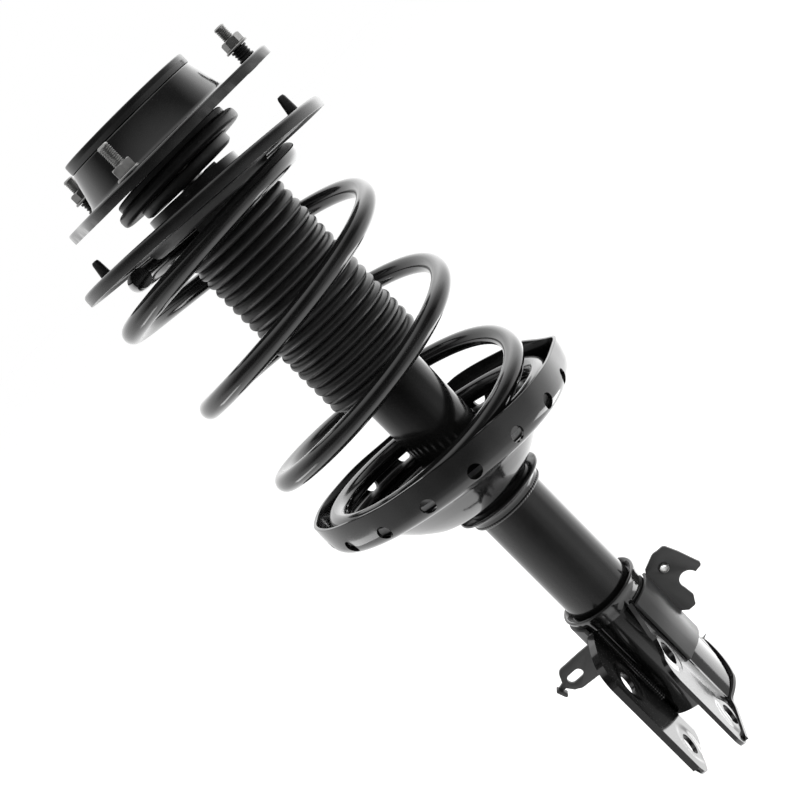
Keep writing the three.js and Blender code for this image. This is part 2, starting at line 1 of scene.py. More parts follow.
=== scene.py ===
# %% [markdown]
# # A front suspension strut
# The strut is a damper with a coil spring round it, a rubber cup on top that bolts to the
# car body, and a stamped bracket below that clamps the wheel's knuckle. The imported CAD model
# fixes every size, place and joint. This lesson builds the fine surface of each visible
# piece in the same frame, metres with Z up, and gives every piece its finish.

# %% Load the frame
import math

import bpy
from mathutils import Matrix, Vector


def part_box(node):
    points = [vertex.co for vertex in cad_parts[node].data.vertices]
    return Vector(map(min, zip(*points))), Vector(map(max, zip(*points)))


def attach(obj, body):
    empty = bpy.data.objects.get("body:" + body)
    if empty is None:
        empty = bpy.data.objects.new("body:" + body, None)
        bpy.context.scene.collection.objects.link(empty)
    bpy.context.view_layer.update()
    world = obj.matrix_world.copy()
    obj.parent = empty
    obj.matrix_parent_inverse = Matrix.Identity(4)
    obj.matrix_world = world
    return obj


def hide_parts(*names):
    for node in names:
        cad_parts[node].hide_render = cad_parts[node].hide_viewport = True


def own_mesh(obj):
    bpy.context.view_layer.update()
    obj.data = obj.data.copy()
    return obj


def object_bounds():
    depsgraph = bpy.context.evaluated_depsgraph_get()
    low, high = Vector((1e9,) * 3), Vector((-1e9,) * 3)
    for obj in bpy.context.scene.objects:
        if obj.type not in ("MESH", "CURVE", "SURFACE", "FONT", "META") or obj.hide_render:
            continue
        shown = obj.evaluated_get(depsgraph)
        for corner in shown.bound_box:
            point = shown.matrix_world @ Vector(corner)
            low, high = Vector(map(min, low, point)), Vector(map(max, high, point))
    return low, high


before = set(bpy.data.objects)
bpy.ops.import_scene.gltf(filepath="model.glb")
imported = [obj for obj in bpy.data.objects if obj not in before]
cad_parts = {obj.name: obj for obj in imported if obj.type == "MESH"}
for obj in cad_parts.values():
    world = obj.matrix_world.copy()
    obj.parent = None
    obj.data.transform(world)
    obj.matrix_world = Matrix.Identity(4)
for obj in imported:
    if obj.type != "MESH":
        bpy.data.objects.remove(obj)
CAD_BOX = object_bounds()
MM = 0.001

# %% [markdown]
# ## Camera
# The strut is looked at from the front, a little from its outboard side and from above, and
# the camera is rolled so that the strut lies along the picture's diagonal. A camera turn is
# three angles: azimuth, elevation and roll. They turn it about an aim point.

# %% Camera
AIM = Vector((-4.1, -1.2, -227.0)) * MM
CAMERA_DISTANCE = 1.0005
AZIMUTH, ELEVATION, ROLL = (math.radians(a) for a in (16.0, 12.8, -44.8))
LENS, SENSOR = 67.5, 36.0


def make_camera():
    flat = math.cos(ELEVATION)
    back = Vector((math.sin(AZIMUTH) * flat, -math.cos(AZIMUTH) * flat, math.sin(ELEVATION)))
    data = bpy.data.cameras.new("camera")
    data.lens, data.sensor_width = LENS, SENSOR
    data.clip_start, data.clip_end = 0.05, 60.0
    camera = bpy.data.objects.new("camera", data)
    bpy.context.scene.collection.objects.link(camera)
    turn = (-back).to_track_quat("-Z", "Y").to_matrix().to_4x4() @ Matrix.Rotation(ROLL, 4, "Z")
    camera.matrix_world = Matrix.Translation(AIM + back * CAMERA_DISTANCE) @ turn
    bpy.context.scene.camera = camera
    return back


TOWARDS_CAMERA = make_camera()
print("camera at", [round(x, 3) for x in AIM + TOWARDS_CAMERA * CAMERA_DISTANCE])

# %% [markdown]
# ## Tools of the workshop
# Most of a strut is turned or pressed on a round die, so most pieces start as a profile that
# is spun round the damper axis, as on a lathe. A profile is drawn by extruding one corner
# point again and again, in millimetres, and Spin sweeps it. The CAD nodes are selected after
# loading, so everything is deselected before each new piece.

# %% Drawing and turning
SAME_POINT = 1e-6


def only(piece):
    """Selects one piece and nothing else, and makes it the active one."""
    bpy.ops.object.select_all(action="DESELECT")
    bpy.context.view_layer.objects.active = piece
    piece.select_set(True)


def merge_all():
    """Merges doubles all over the mesh in edit mode, and leaves all of it selected."""
    bpy.ops.mesh.select_all(action="SELECT")
    bpy.ops.mesh.remove_doubles(threshold=SAME_POINT)
    bpy.ops.mesh.select_all(action="SELECT")


def fresh(name, place=(0, 0, 0)):
    """A new mesh of one corner point, left in edit mode."""
    if bpy.context.object and bpy.context.object.mode == "EDIT":
        bpy.ops.object.mode_set(mode="OBJECT")
    bpy.ops.object.select_all(action="DESELECT")
    bpy.ops.mesh.primitive_plane_add(size=MM, location=(0, 0, 0))
    piece = bpy.context.object
    piece.name = name
    bpy.ops.object.mode_set(mode="EDIT")
    bpy.ops.mesh.select_mode(type="VERT")
    bpy.ops.mesh.merge(type="CENTER")
    bpy.ops.transform.translate(value=Vector(place) * MM)
    return piece


def extrude(step):
    """Extrudes what is selected by a step in millimetres."""
    bpy.ops.mesh.extrude_region_move(TRANSFORM_OT_translate={"value": Vector(step) * MM})


def draw(points):
    """Extrudes the active corner along points, each in millimetres."""
    for a, b in zip(points, points[1:]):
        extrude(Vector(b) - Vector(a))


def settle(piece):
    """Merges doubles, turns the faces out and leaves edit mode."""
    bpy.ops.object.mode_set(mode="EDIT")
    merge_all()
    bpy.ops.mesh.normals_make_consistent(inside=False)
    bpy.ops.object.mode_set(mode="OBJECT")
    return piece


def turned(name, profile, sides=96, closed=True):
    """A piece spun round Z from [radius, height] pairs. A closed profile comes back to its start."""
    points = [(r, 0, z) for r, z in profile]
    if closed:
        points.append(points[0])
    piece = fresh(name, points[0])
    draw(points)
    merge_all()
    bpy.ops.mesh.spin(steps=sides, angle=math.tau, center=(0, 0, 0), axis=(0, 0, 1))
    return settle(piece)


def apply(piece, kind, **settings):
    """Adds a modifier, applies it and returns the piece."""
    only(piece)
    modifier = piece.modifiers.new(kind.lower(), kind)
    for key, value in settings.items():
        setattr(modifier, key, value)
    bpy.ops.object.modifier_apply(modifier=modifier.name)
    return piece


def soften(piece, width, segments=2, angle=28):
    """Rounds every edge sharper than angle."""
    return apply(piece, "BEVEL", width=width * MM, segments=segments, limit_method="ANGLE",
                 angle_limit=math.radians(angle), use_clamp_overlap=True)


def thicken(piece, thickness, offset=-1):
    """Gives a sheet its thickness, and keeps it even round the bends."""
    return apply(piece, "SOLIDIFY", thickness=thickness * MM, offset=offset, use_even_offset=True)


def cut_level(piece, height, up):
    """Cuts away what lies above a height in millimetres, or below it, and closes the cut."""
    only(piece)
    bpy.ops.object.mode_set(mode="EDIT")
    bpy.ops.mesh.select_all(action="SELECT")
    bpy.ops.mesh.bisect(plane_co=(0, 0, height * MM), plane_no=(0, 0, up), clear_outer=True, use_fill=True)
    bpy.ops.object.mode_set(mode="OBJECT")


def shaped(piece, rule):
    """Moves every corner of the mesh by a rule that takes and gives a point in millimetres."""
    for corner in piece.data.vertices:
        corner.co = Vector(rule(*(corner.co / MM))) * MM
    piece.data.update()
    return piece


print("workshop ready")

# %% [markdown]
# ## Flat plates, cuts and joins
# Brackets are cut from sheet. A plate is an outline drawn point by point, filled and
# extruded. Holes are cut with a Boolean modifier, with the cutter removed afterwards, and
# plates are welded together with a union, so that each bracket ends as one closed skin.

# %% Plates and booleans
def arc(cx, cy, radius, start, end, steps=10):
    """Points of an arc round (cx, cy) between two angles in degrees."""
    angles = (math.radians(start + (end - start) * i / steps) for i in range(steps + 1))
    return [(cx + radius * math.cos(a), cy + radius * math.sin(a)) for a in angles]


def polar(radius, angle, height=0.0):
    """A point at a distance from the damper axis and an angle round it."""
    return radius * math.cos(angle), radius * math.sin(angle), height


AXES = {
    "Z": lambda a, b, h: (a, b, h),
    "Y": lambda a, b, h: (a, h, b),
    "X": lambda a, b, h: (h, a, b),
}


def plate(name, outline, low, high, along="Z"):
    """An outline filled and extruded from low to high along an axis."""
    lay = AXES[along]
    points = [lay(a, b, low) for a, b in outline]
    piece = fresh(name, points[0])
    draw(points + points[:1])
    merge_all()
    bpy.ops.mesh.edge_face_add()
    extrude(lay(0, 0, high - low))
    return settle(piece)


def combine(piece, other, operation):
    """Joins or cuts piece with other, and removes other."""
    apply(piece, "BOOLEAN", operation=operation, object=other, solver="EXACT")
    bpy.data.objects.remove(other, do_unlink=True)
    return piece


def rod(name, centre, radius, length, along, sides=40):
    """A plain round bar for cutting holes, centred on a point."""
    turn = {"Z": (0, 0, 0), "Y": (math.pi / 2, 0, 0), "X": (0, math.pi / 2, 0)}[along]
    bpy.ops.object.select_all(action="DESELECT")
    bpy.ops.mesh.primitive_cylinder_add(vertices=sides, radius=radius * MM, depth=length * MM,
                                        location=Vector(centre) * MM, rotation=turn)
    bar = bpy.context.object
    bar.name = name
    bpy.ops.object.transform_apply(location=True, rotation=True, scale=True)
    return bar


def moved(piece, matrix):
    """Puts a piece in its place and keeps that place in its mesh."""
    piece.data.transform(matrix)
    piece.data.update()
    return piece


def copied(piece, name):
    """A copy with its own mesh."""
    twin = piece.copy()
    twin.data = piece.data.copy()
    twin.name = name
    bpy.context.scene.collection.objects.link(twin)
    return twin


print("plates and booleans ready")

# %% [markdown]
# ## Effects shared by the finishes
# A real surface is never one even colour. Four effects come back in most finishes here:
# a slow drift of tone, a fine grain, dust that settles on what faces up, and fine scuffs.
# Each is a node group that is built once and then placed in a material with its own values.

# %% Node helpers
def put(tree, kind, **values):
    """Adds a node. Values that are node outputs are linked, and the others are set."""
    made = tree.nodes.new("ShaderNode" + kind)
    for name, value in values.items():
        key = int(name[2:]) if name.startswith("in") and name[2:].isdigit() else name
        if hasattr(made, name) and not isinstance(key, int):
            setattr(made, name, value)
        elif isinstance(value, bpy.types.NodeSocket):
            tree.links.new(value, made.inputs[key])
        else:
            made.inputs[key].default_value = value
    return made


def new_group(name, inputs, outputs):
    """A shader group: its tree, what it is given, what it puts out and the place on the piece."""
    tree = bpy.data.node_groups.new(name, "ShaderNodeTree")
    for label, value in inputs.items():
        kind = "NodeSocketColor" if isinstance(value, tuple) else "NodeSocketFloat"
        socket = tree.interface.new_socket(name=label, in_out="INPUT", socket_type=kind)
        socket.default_value = value
    for label, kind in outputs.items():
        tree.interface.new_socket(name=label, in_out="OUTPUT", socket_type="NodeSocket" + kind)
    at = put(tree, "TexCoord").outputs["Object"]
    given, result = tree.nodes.new("NodeGroupInput"), tree.nodes.new("NodeGroupOutput")
    return tree, given.outputs, result.inputs, at


def place_group(tree, name, **values):
    """Puts a group in a tree and gives its inputs, with _ for a space in a name."""
    made = tree.nodes.new("ShaderNodeGroup")
    made.node_tree = bpy.data.node_groups[name]
    for label, value in values.items():
        socket = made.inputs[label.replace("_", " ")]
        if isinstance(value, bpy.types.NodeSocket):
            tree.links.new(value, socket)
        else:
            socket.default_value = value
    return made


def ranged(tree, value, low, high, to_low=0.0, to_high=1.0):
    """The socket of a value brought from one range to another."""
    return put(tree, "MapRange", Value=value, in1=low, in2=high, in3=to_low, in4=to_high).outputs[0]


def times(tree, a, b):
    return put(tree, "Math", operation="MULTIPLY", in0=a, in1=b).outputs[0]


def mixed(tree, share, a, b):
    return put(tree, "Mix", data_type="FLOAT", in0=share, in2=a, in3=b).outputs[0]


# %% Tone drift
def build_tone_drift():
    tree, given, result, at = new_group(
        "tone_drift", {"Scale": 20.0, "Dark": (0.0, 0.0, 0.0, 1.0), "Light": (0.1, 0.1, 0.1, 1.0)},
        {"Color": "Color", "Mask": "Float"})
    wide = put(tree, "TexNoise", Vector=at, Scale=given["Scale"], Detail=4.0, Roughness=0.6)
    mask = ranged(tree, wide.outputs["Fac"], 0.35, 0.65)
    tone = put(tree, "Mix", data_type="RGBA", in0=mask, in6=given["Dark"],
               in7=given["Light"])
    tree.links.new(tone.outputs[2], result["Color"])
    tree.links.new(mask, result["Mask"])


# %% Fine grain
def build_fine_grain():
    tree, given, result, at = new_group("fine_grain", {"Scale": 900.0, "Share": 0.5}, {"Height": "Float"})
    fine = put(tree, "TexNoise", Vector=at, Scale=given["Scale"], Detail=3.0)
    cells = put(tree, "TexVoronoi", Vector=at, Scale=given["Scale"])
    height = mixed(tree, given["Share"], fine.outputs["Fac"], cells.outputs["Distance"])
    tree.links.new(height, result["Height"])


# %% Settled dust
def build_settled_dust():
    tree, given, result, at = new_group("settled_dust", {"Amount": 0.3, "Scale": 60.0}, {"Mask": "Float"})
    patches = put(tree, "TexNoise", Vector=at, Scale=given["Scale"], Detail=6.0, Roughness=0.7)
    rough = ranged(tree, patches.outputs["Fac"], 0.45, 0.75)
    up = put(tree, "SeparateXYZ", Vector=put(tree, "NewGeometry").outputs["Normal"]).outputs["Z"]
    facing = ranged(tree, up, -0.2, 1.0, 0.25, 1.0)
    amount = times(tree, times(tree, rough, facing), given["Amount"])
    tree.links.new(amount, result["Mask"])


# %% Fine scuffs
def build_scuffs():
    tree, given, result, at = new_group("scuffs", {"Scale": 40.0, "Amount": 0.4}, {"Mask": "Float"})
    long = put(tree, "Mapping", Vector=at, Scale=(1.0, 1.0, 0.12), Rotation=(0.5, 0.3, 0.0))
    lines = put(tree, "TexNoise", Vector=long.outputs[0], Scale=given["Scale"], Detail=8.0,
                Roughness=0.8)
    thin = ranged(tree, lines.outputs["Fac"], 0.58, 0.72)
    tree.links.new(times(tree, thin, given["Amount"]), result["Mask"])


for build in (build_tone_drift, build_fine_grain, build_settled_dust, build_scuffs):
    build()
print("groups", [g.name for g in bpy.data.node_groups])

# %% [markdown]
# ## Finishes
# The steel parts carry a black cathodic dip paint: a thin, glossy coat that follows the metal
# and shows a faint orange peel. The spring has a thicker powder coat. Rubber and moulded
# plastic are duller, with a grain and some pale dust. The studs and nuts are zinc plated.
# All finishes share one recipe and differ in tone, roughness, grain and dust.

# %% One recipe for a finish
DUST = (0.16, 0.155, 0.15, 1.0)


def grey(value, tint=(1.0, 1.0, 1.0)):
    return (value * tint[0], value * tint[1], value * tint[2], 1.0)


def finish_material(name, tones, roughness, grain, drift=22.0, dust=0.1, scuff=0.1, metallic=0.0,
                    tint=(1.0, 1.0, 1.0), coat=0.0):
    """tones and roughness are (low, high); grain is (scale, share of cells, depth in mm)."""
    material = bpy.data.materials.new(name)
    material.use_nodes = True
    tree = material.node_tree
    shader = tree.nodes["Principled BSDF"]
    tone = place_group(tree, "tone_drift", Scale=drift, Dark=grey(tones[0], tint),
                       Light=grey(tones[1], tint))
    fallen = place_group(tree, "settled_dust", Amount=dust, Scale=75.0)
    rubbed = place_group(tree, "scuffs", Amount=scuff, Scale=55.0)
    dusty = put(tree, "Mix", data_type="RGBA", in0=fallen.outputs["Mask"],
                in6=tone.outputs["Color"], in7=DUST)
    tree.links.new(dusty.outputs[2], shader.inputs["Base Color"])
    even = ranged(tree, tone.outputs["Mask"], 0.0, 1.0, *roughness)
    duller = put(tree, "Math", operation="MULTIPLY_ADD", in0=fallen.outputs["Mask"], in1=0.5, in2=even)
    scuffed = put(tree, "Math", operation="MULTIPLY_ADD", in0=rubbed.outputs["Mask"], in1=0.3,
                  in2=duller.outputs[0])
    tree.links.new(scuffed.outputs[0], shader.inputs["Roughness"])
    height = place_group(tree, "fine_grain", Scale=grain[0], Share=grain[1])
    bump = put(tree, "Bump", Strength=0.6, Distance=grain[2] * MM, Height=height.outputs["Height"])
    tree.links.new(bump.outputs[0], shader.inputs["Normal"])
    shader.inputs["Metallic"].default_value = metallic
    shader.inputs["Coat Weight"].default_value = coat
    shader.inputs["Coat Roughness"].default_value = 0.08
    return material


# %% The finishes of this strut
# Each row gives the part's material slot, the tones, the roughness, the grain and the rest.
TABLE = {
    "dip_paint": ("black_paint", (0.002, 0.004), (0.12, 0.18), (420, 0.2, 0.0015),
                  dict(dust=0.015, scuff=0.06, coat=0.5)),
    "satin_paint": ("black_paint", (0.003, 0.005), (0.20, 0.28), (700, 0.3, 0.002),
                    dict(dust=0.02, scuff=0.08, coat=0.2)),
    "spring_coat": ("spring_coat", (0.002, 0.004), (0.12, 0.17), (520, 0.15, 0.0015),
                    dict(dust=0.01, scuff=0.05, coat=0.6)),
    # The brackets' sheet paint is the black dip paint painted lighter: a painted sheen standing in for the
    # light the straps catch.
    "lit_sheet_paint": ("black_paint", (0.022, 0.032), (0.32, 0.42), (600, 0.3, 0.006),
                    dict(dust=0.03, scuff=0.1)),
    "moulded_rubber": ("rubber", (0.003, 0.006), (0.38, 0.50), (1500, 0.6, 0.015),
                       dict(drift=45.0, dust=0.03, scuff=0.1)),
    "lip_rubber": ("rubber", (0.003, 0.005), (0.24, 0.32), (1200, 0.4, 0.003),
                   dict(drift=45.0, dust=0.02, scuff=0.08, coat=0.1)),
    "boot_rubber": ("rubber", (0.003, 0.005), (0.30, 0.40), (1900, 0.5, 0.003),
                    dict(drift=30.0, dust=0.02, scuff=0.06)),
    "moulded_plastic": ("bearing_plastic", (0.004, 0.008), (0.28, 0.36), (1300, 0.4, 0.02),
                        dict(dust=0.02)),
    "zinc": ("zinc", (0.26, 0.38), (0.26, 0.42), (1100, 0.5, 0.02),
             dict(drift=120.0, dust=0.1, scuff=0.5, metallic=0.95, tint=(1.0, 0.995, 0.98))),
    "bare_steel": ("bare_steel", (0.30, 0.42), (0.28, 0.44), (1600, 0.4, 0.02),
                   dict(drift=60.0, scuff=0.6, metallic=1.0, tint=(0.97, 0.98, 1.0))),
    "hard_chrome": ("hard_chrome", (0.45, 0.55), (0.06, 0.12), (2400, 0.2, 0.005),
                    dict(scuff=0.3, metallic=1.0)),
    "foam": ("foam", (0.012, 0.02), (0.80, 0.92), (1200, 0.9, 0.25), dict(drift=80.0, dust=0.02)),
}
FINISHES = {name: finish_material(name, *row[1:4], **row[4]) for name, row in TABLE.items()}
MADE = []


def hand_over(piece, finish, body, *nodes, angle=35):
    """Smooths, paints and hangs a finished piece on its body, in place of its CAD nodes."""
    only(piece)
    bpy.ops.object.transform_apply(location=True, rotation=True, scale=True)
    bpy.ops.object.shade_smooth_by_angle(angle=math.radians(angle))
    piece.data.materials.clear()
    piece.data.materials.append(FINISHES[finish])
    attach(piece, body)
    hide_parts(*nodes)
    MADE.append(piece)
    print(piece.name, len(piece.data.polygons), "faces on", body)
    return piece


print(len(FINISHES), "finishes")

# %% [markdown]
# ## Top mount
# The mount is a pressed steel cup with a wide flange, and the flange is a rounded triangle
# with a stud at each corner. It is spun round first, and then its edge is pulled out and in
# by a smooth three-lobed rule, so that the rim keeps its even bend all the way round.

# %% Mount shell
FLANGE_SIDE, FLANGE_LOBE = 75.0, 97.0
CUP_BASE, CUP_LIP, CUP_SHOULDER = 57.0, 51.2, 24.3
STUD_ANGLES = [math.radians(a) for a in (-90, 30, 150)]
STUD_CIRCLE, STUD_HOLE = 84.0, 4.3


def flange_radius(angle):
    middle, swing = (FLANGE_LOBE + FLANGE_SIDE) / 2, (FLANGE_LOBE - FLANGE_SIDE) / 2
    return middle + swing * math.cos(3 * (angle - STUD_ANGLES[0]))


def lobed(x, y, z):
    """Stretches what lies outside the cup to the flange's rounded triangle."""
    radius, angle = math.hypot(x, y), math.atan2(y, x)
    root = CUP_BASE + 4
    if radius <= root:
        return x, y, z
    share = (radius - root) / (FLANGE_LOBE - root)
    wanted = root + share * (flange_radius(angle) - root)
    return polar(wanted, angle, z)


shell = turned("mount_shell_skin", [
    (FLANGE_LOBE, -7), (FLANGE_LOBE, -1.2), (FLANGE_LOBE - 1.2, 0), (92, 0), (84, 0), (76, 0), (68, 0),
    (CUP_BASE + 4.5, 0), (CUP_BASE + 1.6, 0.6), (CUP_BASE + 0.2, 2.6),
    (CUP_LIP + 0.15, CUP_SHOULDER - 0.7), (CUP_LIP - 0.6, CUP_SHOULDER), (CUP_LIP - 6, CUP_SHOULDER)],
    180, closed=False)
soften(shell, 0.8, 3, 20)
shaped(shell, lobed)
thicken(shell, 2.4)
soften(shell, 0.4, 2, 50)
for angle in STUD_ANGLES:
    combine(shell, rod("stud_hole", polar(STUD_CIRCLE, angle), STUD_HOLE, 20, "Z"), "DIFFERENCE")
hand_over(shell, "dip_paint", "top_mount", "mount_shell", angle=25)

# %% [markdown]
# The rubber is bonded round the cup's mouth and dips towards the steel sleeve in the middle.
# Moulded rubber has soft edges and a faint ridge where the mould parts, so its profile is
# drawn with those in it, and a generous bevel rounds the rest.

# %% Mount rubber and the centre pieces
rubber = turned("mount_rubber_ring", [
    (49.6, 24.4), (50.9, 24.4), (51.2, 24.8), (51.2, 27.6), (51.3, 27.9), (51.2, 28.2), (51.1, 30.7),
    (50.6, 31.4), (47.5, 31.5), (44.8, 31.3), (42.8, 29.6), (41.2, 25.5), (37, 21.4), (32, 19.6),
    (26, 20.4), (22, 22), (20.4, 22), (20.4, 6.2), (34, 6.2), (44.6, 19.5), (44.8, 24.3)], 120)
hand_over(soften(rubber, 0.3), "lip_rubber", "top_mount", "mount_rubber")

sleeve = turned("mount_sleeve_cup", [
    (6.3, 2.5), (13.8, 2.5), (15.2, 3.0), (19.2, 5.6), (20, 6.6), (20, 22.4), (19.4, 23), (16.8, 23),
    (16, 22.4), (16, 9.2), (14, 7.4), (6.3, 7.4)], 64)
hand_over(soften(sleeve, 0.3), "bare_steel", "top_mount", "mount_sleeve")
washer = turned("rod_washer_disc", [(6.3, 7.7), (13.5, 7.7), (13.5, 11), (6.3, 11)], 64)
hand_over(soften(washer, 0.5, 3), "zinc", "top_mount", "rod_washer")

# %% [markdown]
# ## Threads, studs and nuts
# A thread is a ridge that climbs one pitch each turn. A finely divided cylinder gets it from
# one rule: push each corner in or out by where its height and angle fall in the pitch. Nuts
# are six-sided bars whose corners are turned off at 30 degrees, cut here by a round body.

# %% Thread rule
def threaded(centre, radius, pitch, low, high, depth=0.62):
    """A rule that cuts a thread between two heights on corners at the given radius."""
    def rule(x, y, z):
        dx, dy = x - centre[0], y - centre[1]
        r, angle = math.hypot(dx, dy), math.atan2(dy, dx)
        if r < radius - 0.05 or not low <= z <= high:
            return x, y, z
        turn = (z / pitch - angle / math.tau) % 1.0
        runout = min(1.0, (z - low) / pitch, (high - z) / pitch)
        crest = min(1.0, max(0.0, abs(turn - 0.5) * 2.6 - 0.3))
        scale = (r - depth * runout * (1 - crest)) / r
        return centre[0] + dx * scale, centre[1] + dy * scale, z
    return rule


def climb(radius, low, high, step):
    """Profile points up a cylinder at an even step."""
    count = round((high - low) / step)
    return [(radius, low + (high - low) * i / count) for i in range(count + 1)]


# %% Studs
STUD_RADIUS, STUD_TIPS = 4.0, (23.0, 27.5, 27.5)
NUT_SEATS = (0.3, 9.5, 9.5)


def make_stud(tip):
    profile = [(0, -7.3), (6.4, -7.3), (7, -6.8), (7, -3.9), (6.4, -3.3), (STUD_RADIUS, -3.3)]
    profile += climb(STUD_RADIUS, 0.5, tip - 1.0, 0.25)
    profile += [(STUD_RADIUS - 0.9, tip - 0.1), (STUD_RADIUS - 1.2, tip), (0, tip)]
    stud = turned("stud", profile, 36, closed=False)
    return shaped(stud, threaded((0, 0), STUD_RADIUS, 1.25, 1.0, tip - 1.0))


def hexagon(across_corners):
    return arc(0, 0, across_corners, 0, 300, 5)


def make_nut(corner, height, hole, collar=0.0):
    """A hexagon nut with its corners turned off and, with a collar radius, a flange."""
    nut = plate("nut", hexagon(corner), 0, height)
    dome = turned("dome", [(0, 0), (corner * 0.99, 0), (corner * 1.01, 0.8),
                           (corner * 1.01, height - 1.0), (corner * 0.86, height), (0, height)], 72)
    combine(nut, dome, "INTERSECT")
    if collar:
        skirt = turned("skirt", [(0, 0), (collar - 0.5, 0), (collar, 0.4), (collar, 1.1),
                                 (collar - 0.4, 1.6), (corner * 0.84, 2.5), (0, 2.5)], 72)
        combine(nut, skirt, "UNION")
    combine(nut, rod("bore", (0, 0, height / 2), hole, height * 3, "Z"), "DIFFERENCE")
    return soften(nut, 0.18, 2, 20)


stud_nut = make_nut(7.5, 8, STUD_RADIUS + 0.15, 8.6)
for i, (angle, tip, seat) in enumerate(zip(STUD_ANGLES, STUD_TIPS, NUT_SEATS), 1):
    spot = Vector(polar(STUD_CIRCLE, angle)) * MM
    hand_over(moved(make_stud(tip), Matrix.Translation(spot)), "zinc", "top_mount", f"mount_stud_{i}")
    MADE[-1].name = f"mount_stud_bolt_{i}"
    nut = copied(stud_nut, f"stud_flange_nut_{i}")
    turn = Matrix.Rotation(angle + 0.35 * i, 4, "Z")
    moved(nut, Matrix.Translation(spot + Vector((0, 0, seat * MM))) @ turn)
    hand_over(nut, "zinc", "top_mount", f"stud_nut_{i}")
bpy.data.objects.remove(stud_nut, do_unlink=True)

# %% [markdown]
# Two nuts stand on ribbed plastic collars that keep them for transport. A collar is turned
# like a small spool: two rims with ribs between them.

# %% Stud collars, rod nut and rod
COLLAR_PROFILE = [(4.3, 0.35), (5.6, 0.35), (6.0, 0.8), (6.0, 1.7), (4.9, 2.3), (4.9, 3.0), (5.6, 3.5),
                  (5.6, 4.1), (4.9, 4.6), (4.9, 5.2), (5.6, 5.7), (5.6, 6.3), (4.9, 6.8), (4.9, 7.2),
                  (6.0, 7.8), (6.0, 8.8), (5.6, 9.15), (4.3, 9.15)]
for i in (2, 3):
    angle = STUD_ANGLES[i - 1]
    spot = Vector(polar(STUD_CIRCLE, angle)) * MM
    spool = soften(turned(f"stud_spool_{i}", COLLAR_PROFILE, 48), 0.15)
    moved(spool, Matrix.Translation(spot))
    hand_over(spool, "moulded_plastic", "top_mount", f"stud_collar_{i}")

rod_nut = moved(make_nut(11, 12.7, 6.2), Matrix.Translation((0, 0, 11.3 * MM)))
rod_nut.name = "rod_lock_nut"
hand_over(rod_nut, "zinc", "top_mount", "rod_nut")

ROD_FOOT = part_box("piston_rod")[0].z / MM
ROD_STEP = ROD_FOOT + 34
rod_profile = [(0, ROD_FOOT), (5.2, ROD_FOOT), (5.7, ROD_FOOT + 0.5), (5.7, ROD_STEP), (9.4, ROD_STEP),
               (10, ROD_STEP + 0.6), (10, 1.0), (9, 2.0), (6, 2.0)]
rod_profile += climb(6.0, 3.0, 26.5, 0.25) + [(5.0, 27.9), (4.7, 28), (0, 28)]
damper_rod = turned("damper_rod", rod_profile, 48, closed=False)
shaped(damper_rod, threaded((0, 0), 6.0, 1.25, 9.0, 26.4))
hand_over(damper_rod, "hard_chrome", "top_mount", "piston_rod")

# %% [markdown]
# ## Leaning pieces
# The bearing cover and both spring seats don't stand square to the damper: they lean, to
# take the spring's side load. Each is made upright round Z and then laid on a plane
# z = height + slope . (x, y), moved a little along the direction of the lean.

# %% Leaning place
LEAN = math.radians(16)
LEAN_WAY = Vector((math.cos(LEAN), math.sin(LEAN), 0))


def leaning(height, slope, offset):
    """The place of a piece that lies on a sloping plane, as a matrix."""
    spot = LEAN_WAY * offset
    spot.z = height + slope[0] * spot.x + slope[1] * spot.y
    normal = Vector((-slope[0], -slope[1], 1)).normalized()
    turn = Vector((0, 0, 1)).rotation_difference(normal).to_matrix().to_4x4()
    return Matrix.Translation(spot * MM) @ turn


COVER_PLACE = leaning(-17.8, (0.032, -0.057), 0)
UPPER_SLOPE, LOWER_SLOPE = (-0.042, -0.081), (-0.093, -0.095)
UPPER_OFFSET, LOWER_OFFSET = -3.6, -6.0
UPPER_PLACE = leaning(-44.2, UPPER_SLOPE, UPPER_OFFSET)
LOWER_PLACE = leaning(-259, LOWER_SLOPE, LOWER_OFFSET)
print("upper seat at", [round(x, 4) for x in UPPER_PLACE.translation])

# %% [markdown]
# ## Strut bearing
# The black disc under the flange is the bearing's moulded cover. The lower race hangs below
# it, with a lip round its edge, and turns with the spring.

# %% Bearing cover and lower race
cover = turned("bearing_cover_disc", [
    (38.5, -4.2), (48.6, -4.2), (50.2, -3.6), (51, -2.2), (51, 1.0), (50.4, 2.8), (49, 3.8), (46.6, 4.0),
    (46, 4.6), (46, 7.9), (44.9, 9.0), (15, 9.0), (15, -1.2), (32, -1.2), (32, 1.0), (37.2, 1.0),
    (38.5, 0.2)], 144)
moved(soften(cover, 0.5), COVER_PLACE)
hand_over(cover, "moulded_plastic", "top_mount", "bearing_cover")
race = turned("bearing_race_ring", [
    (15, -28.6), (34, -28.6), (36.4, -27.2), (36.8, -26.4), (36.8, -20.7), (36.3, -20.2), (34.5, -20.2),
    (34.5, -24.8), (29.6, -24.8), (28.4, -25.6), (25.6, -25.6), (24.4, -24.8), (15, -24.8)], 120)
hand_over(soften(race, 0.3), "moulded_plastic", "spring_top", "bearing_lower_race")

# %% [markdown]
# ## Upper spring seat
# A shallow pressed pan with a turned-down rim and a neck that carries the bearing. The
# insulator is rubber: it lies under the pan, takes the spring's small end coil, and holds
# itself with two tapered pegs that come up through holes in the pan.

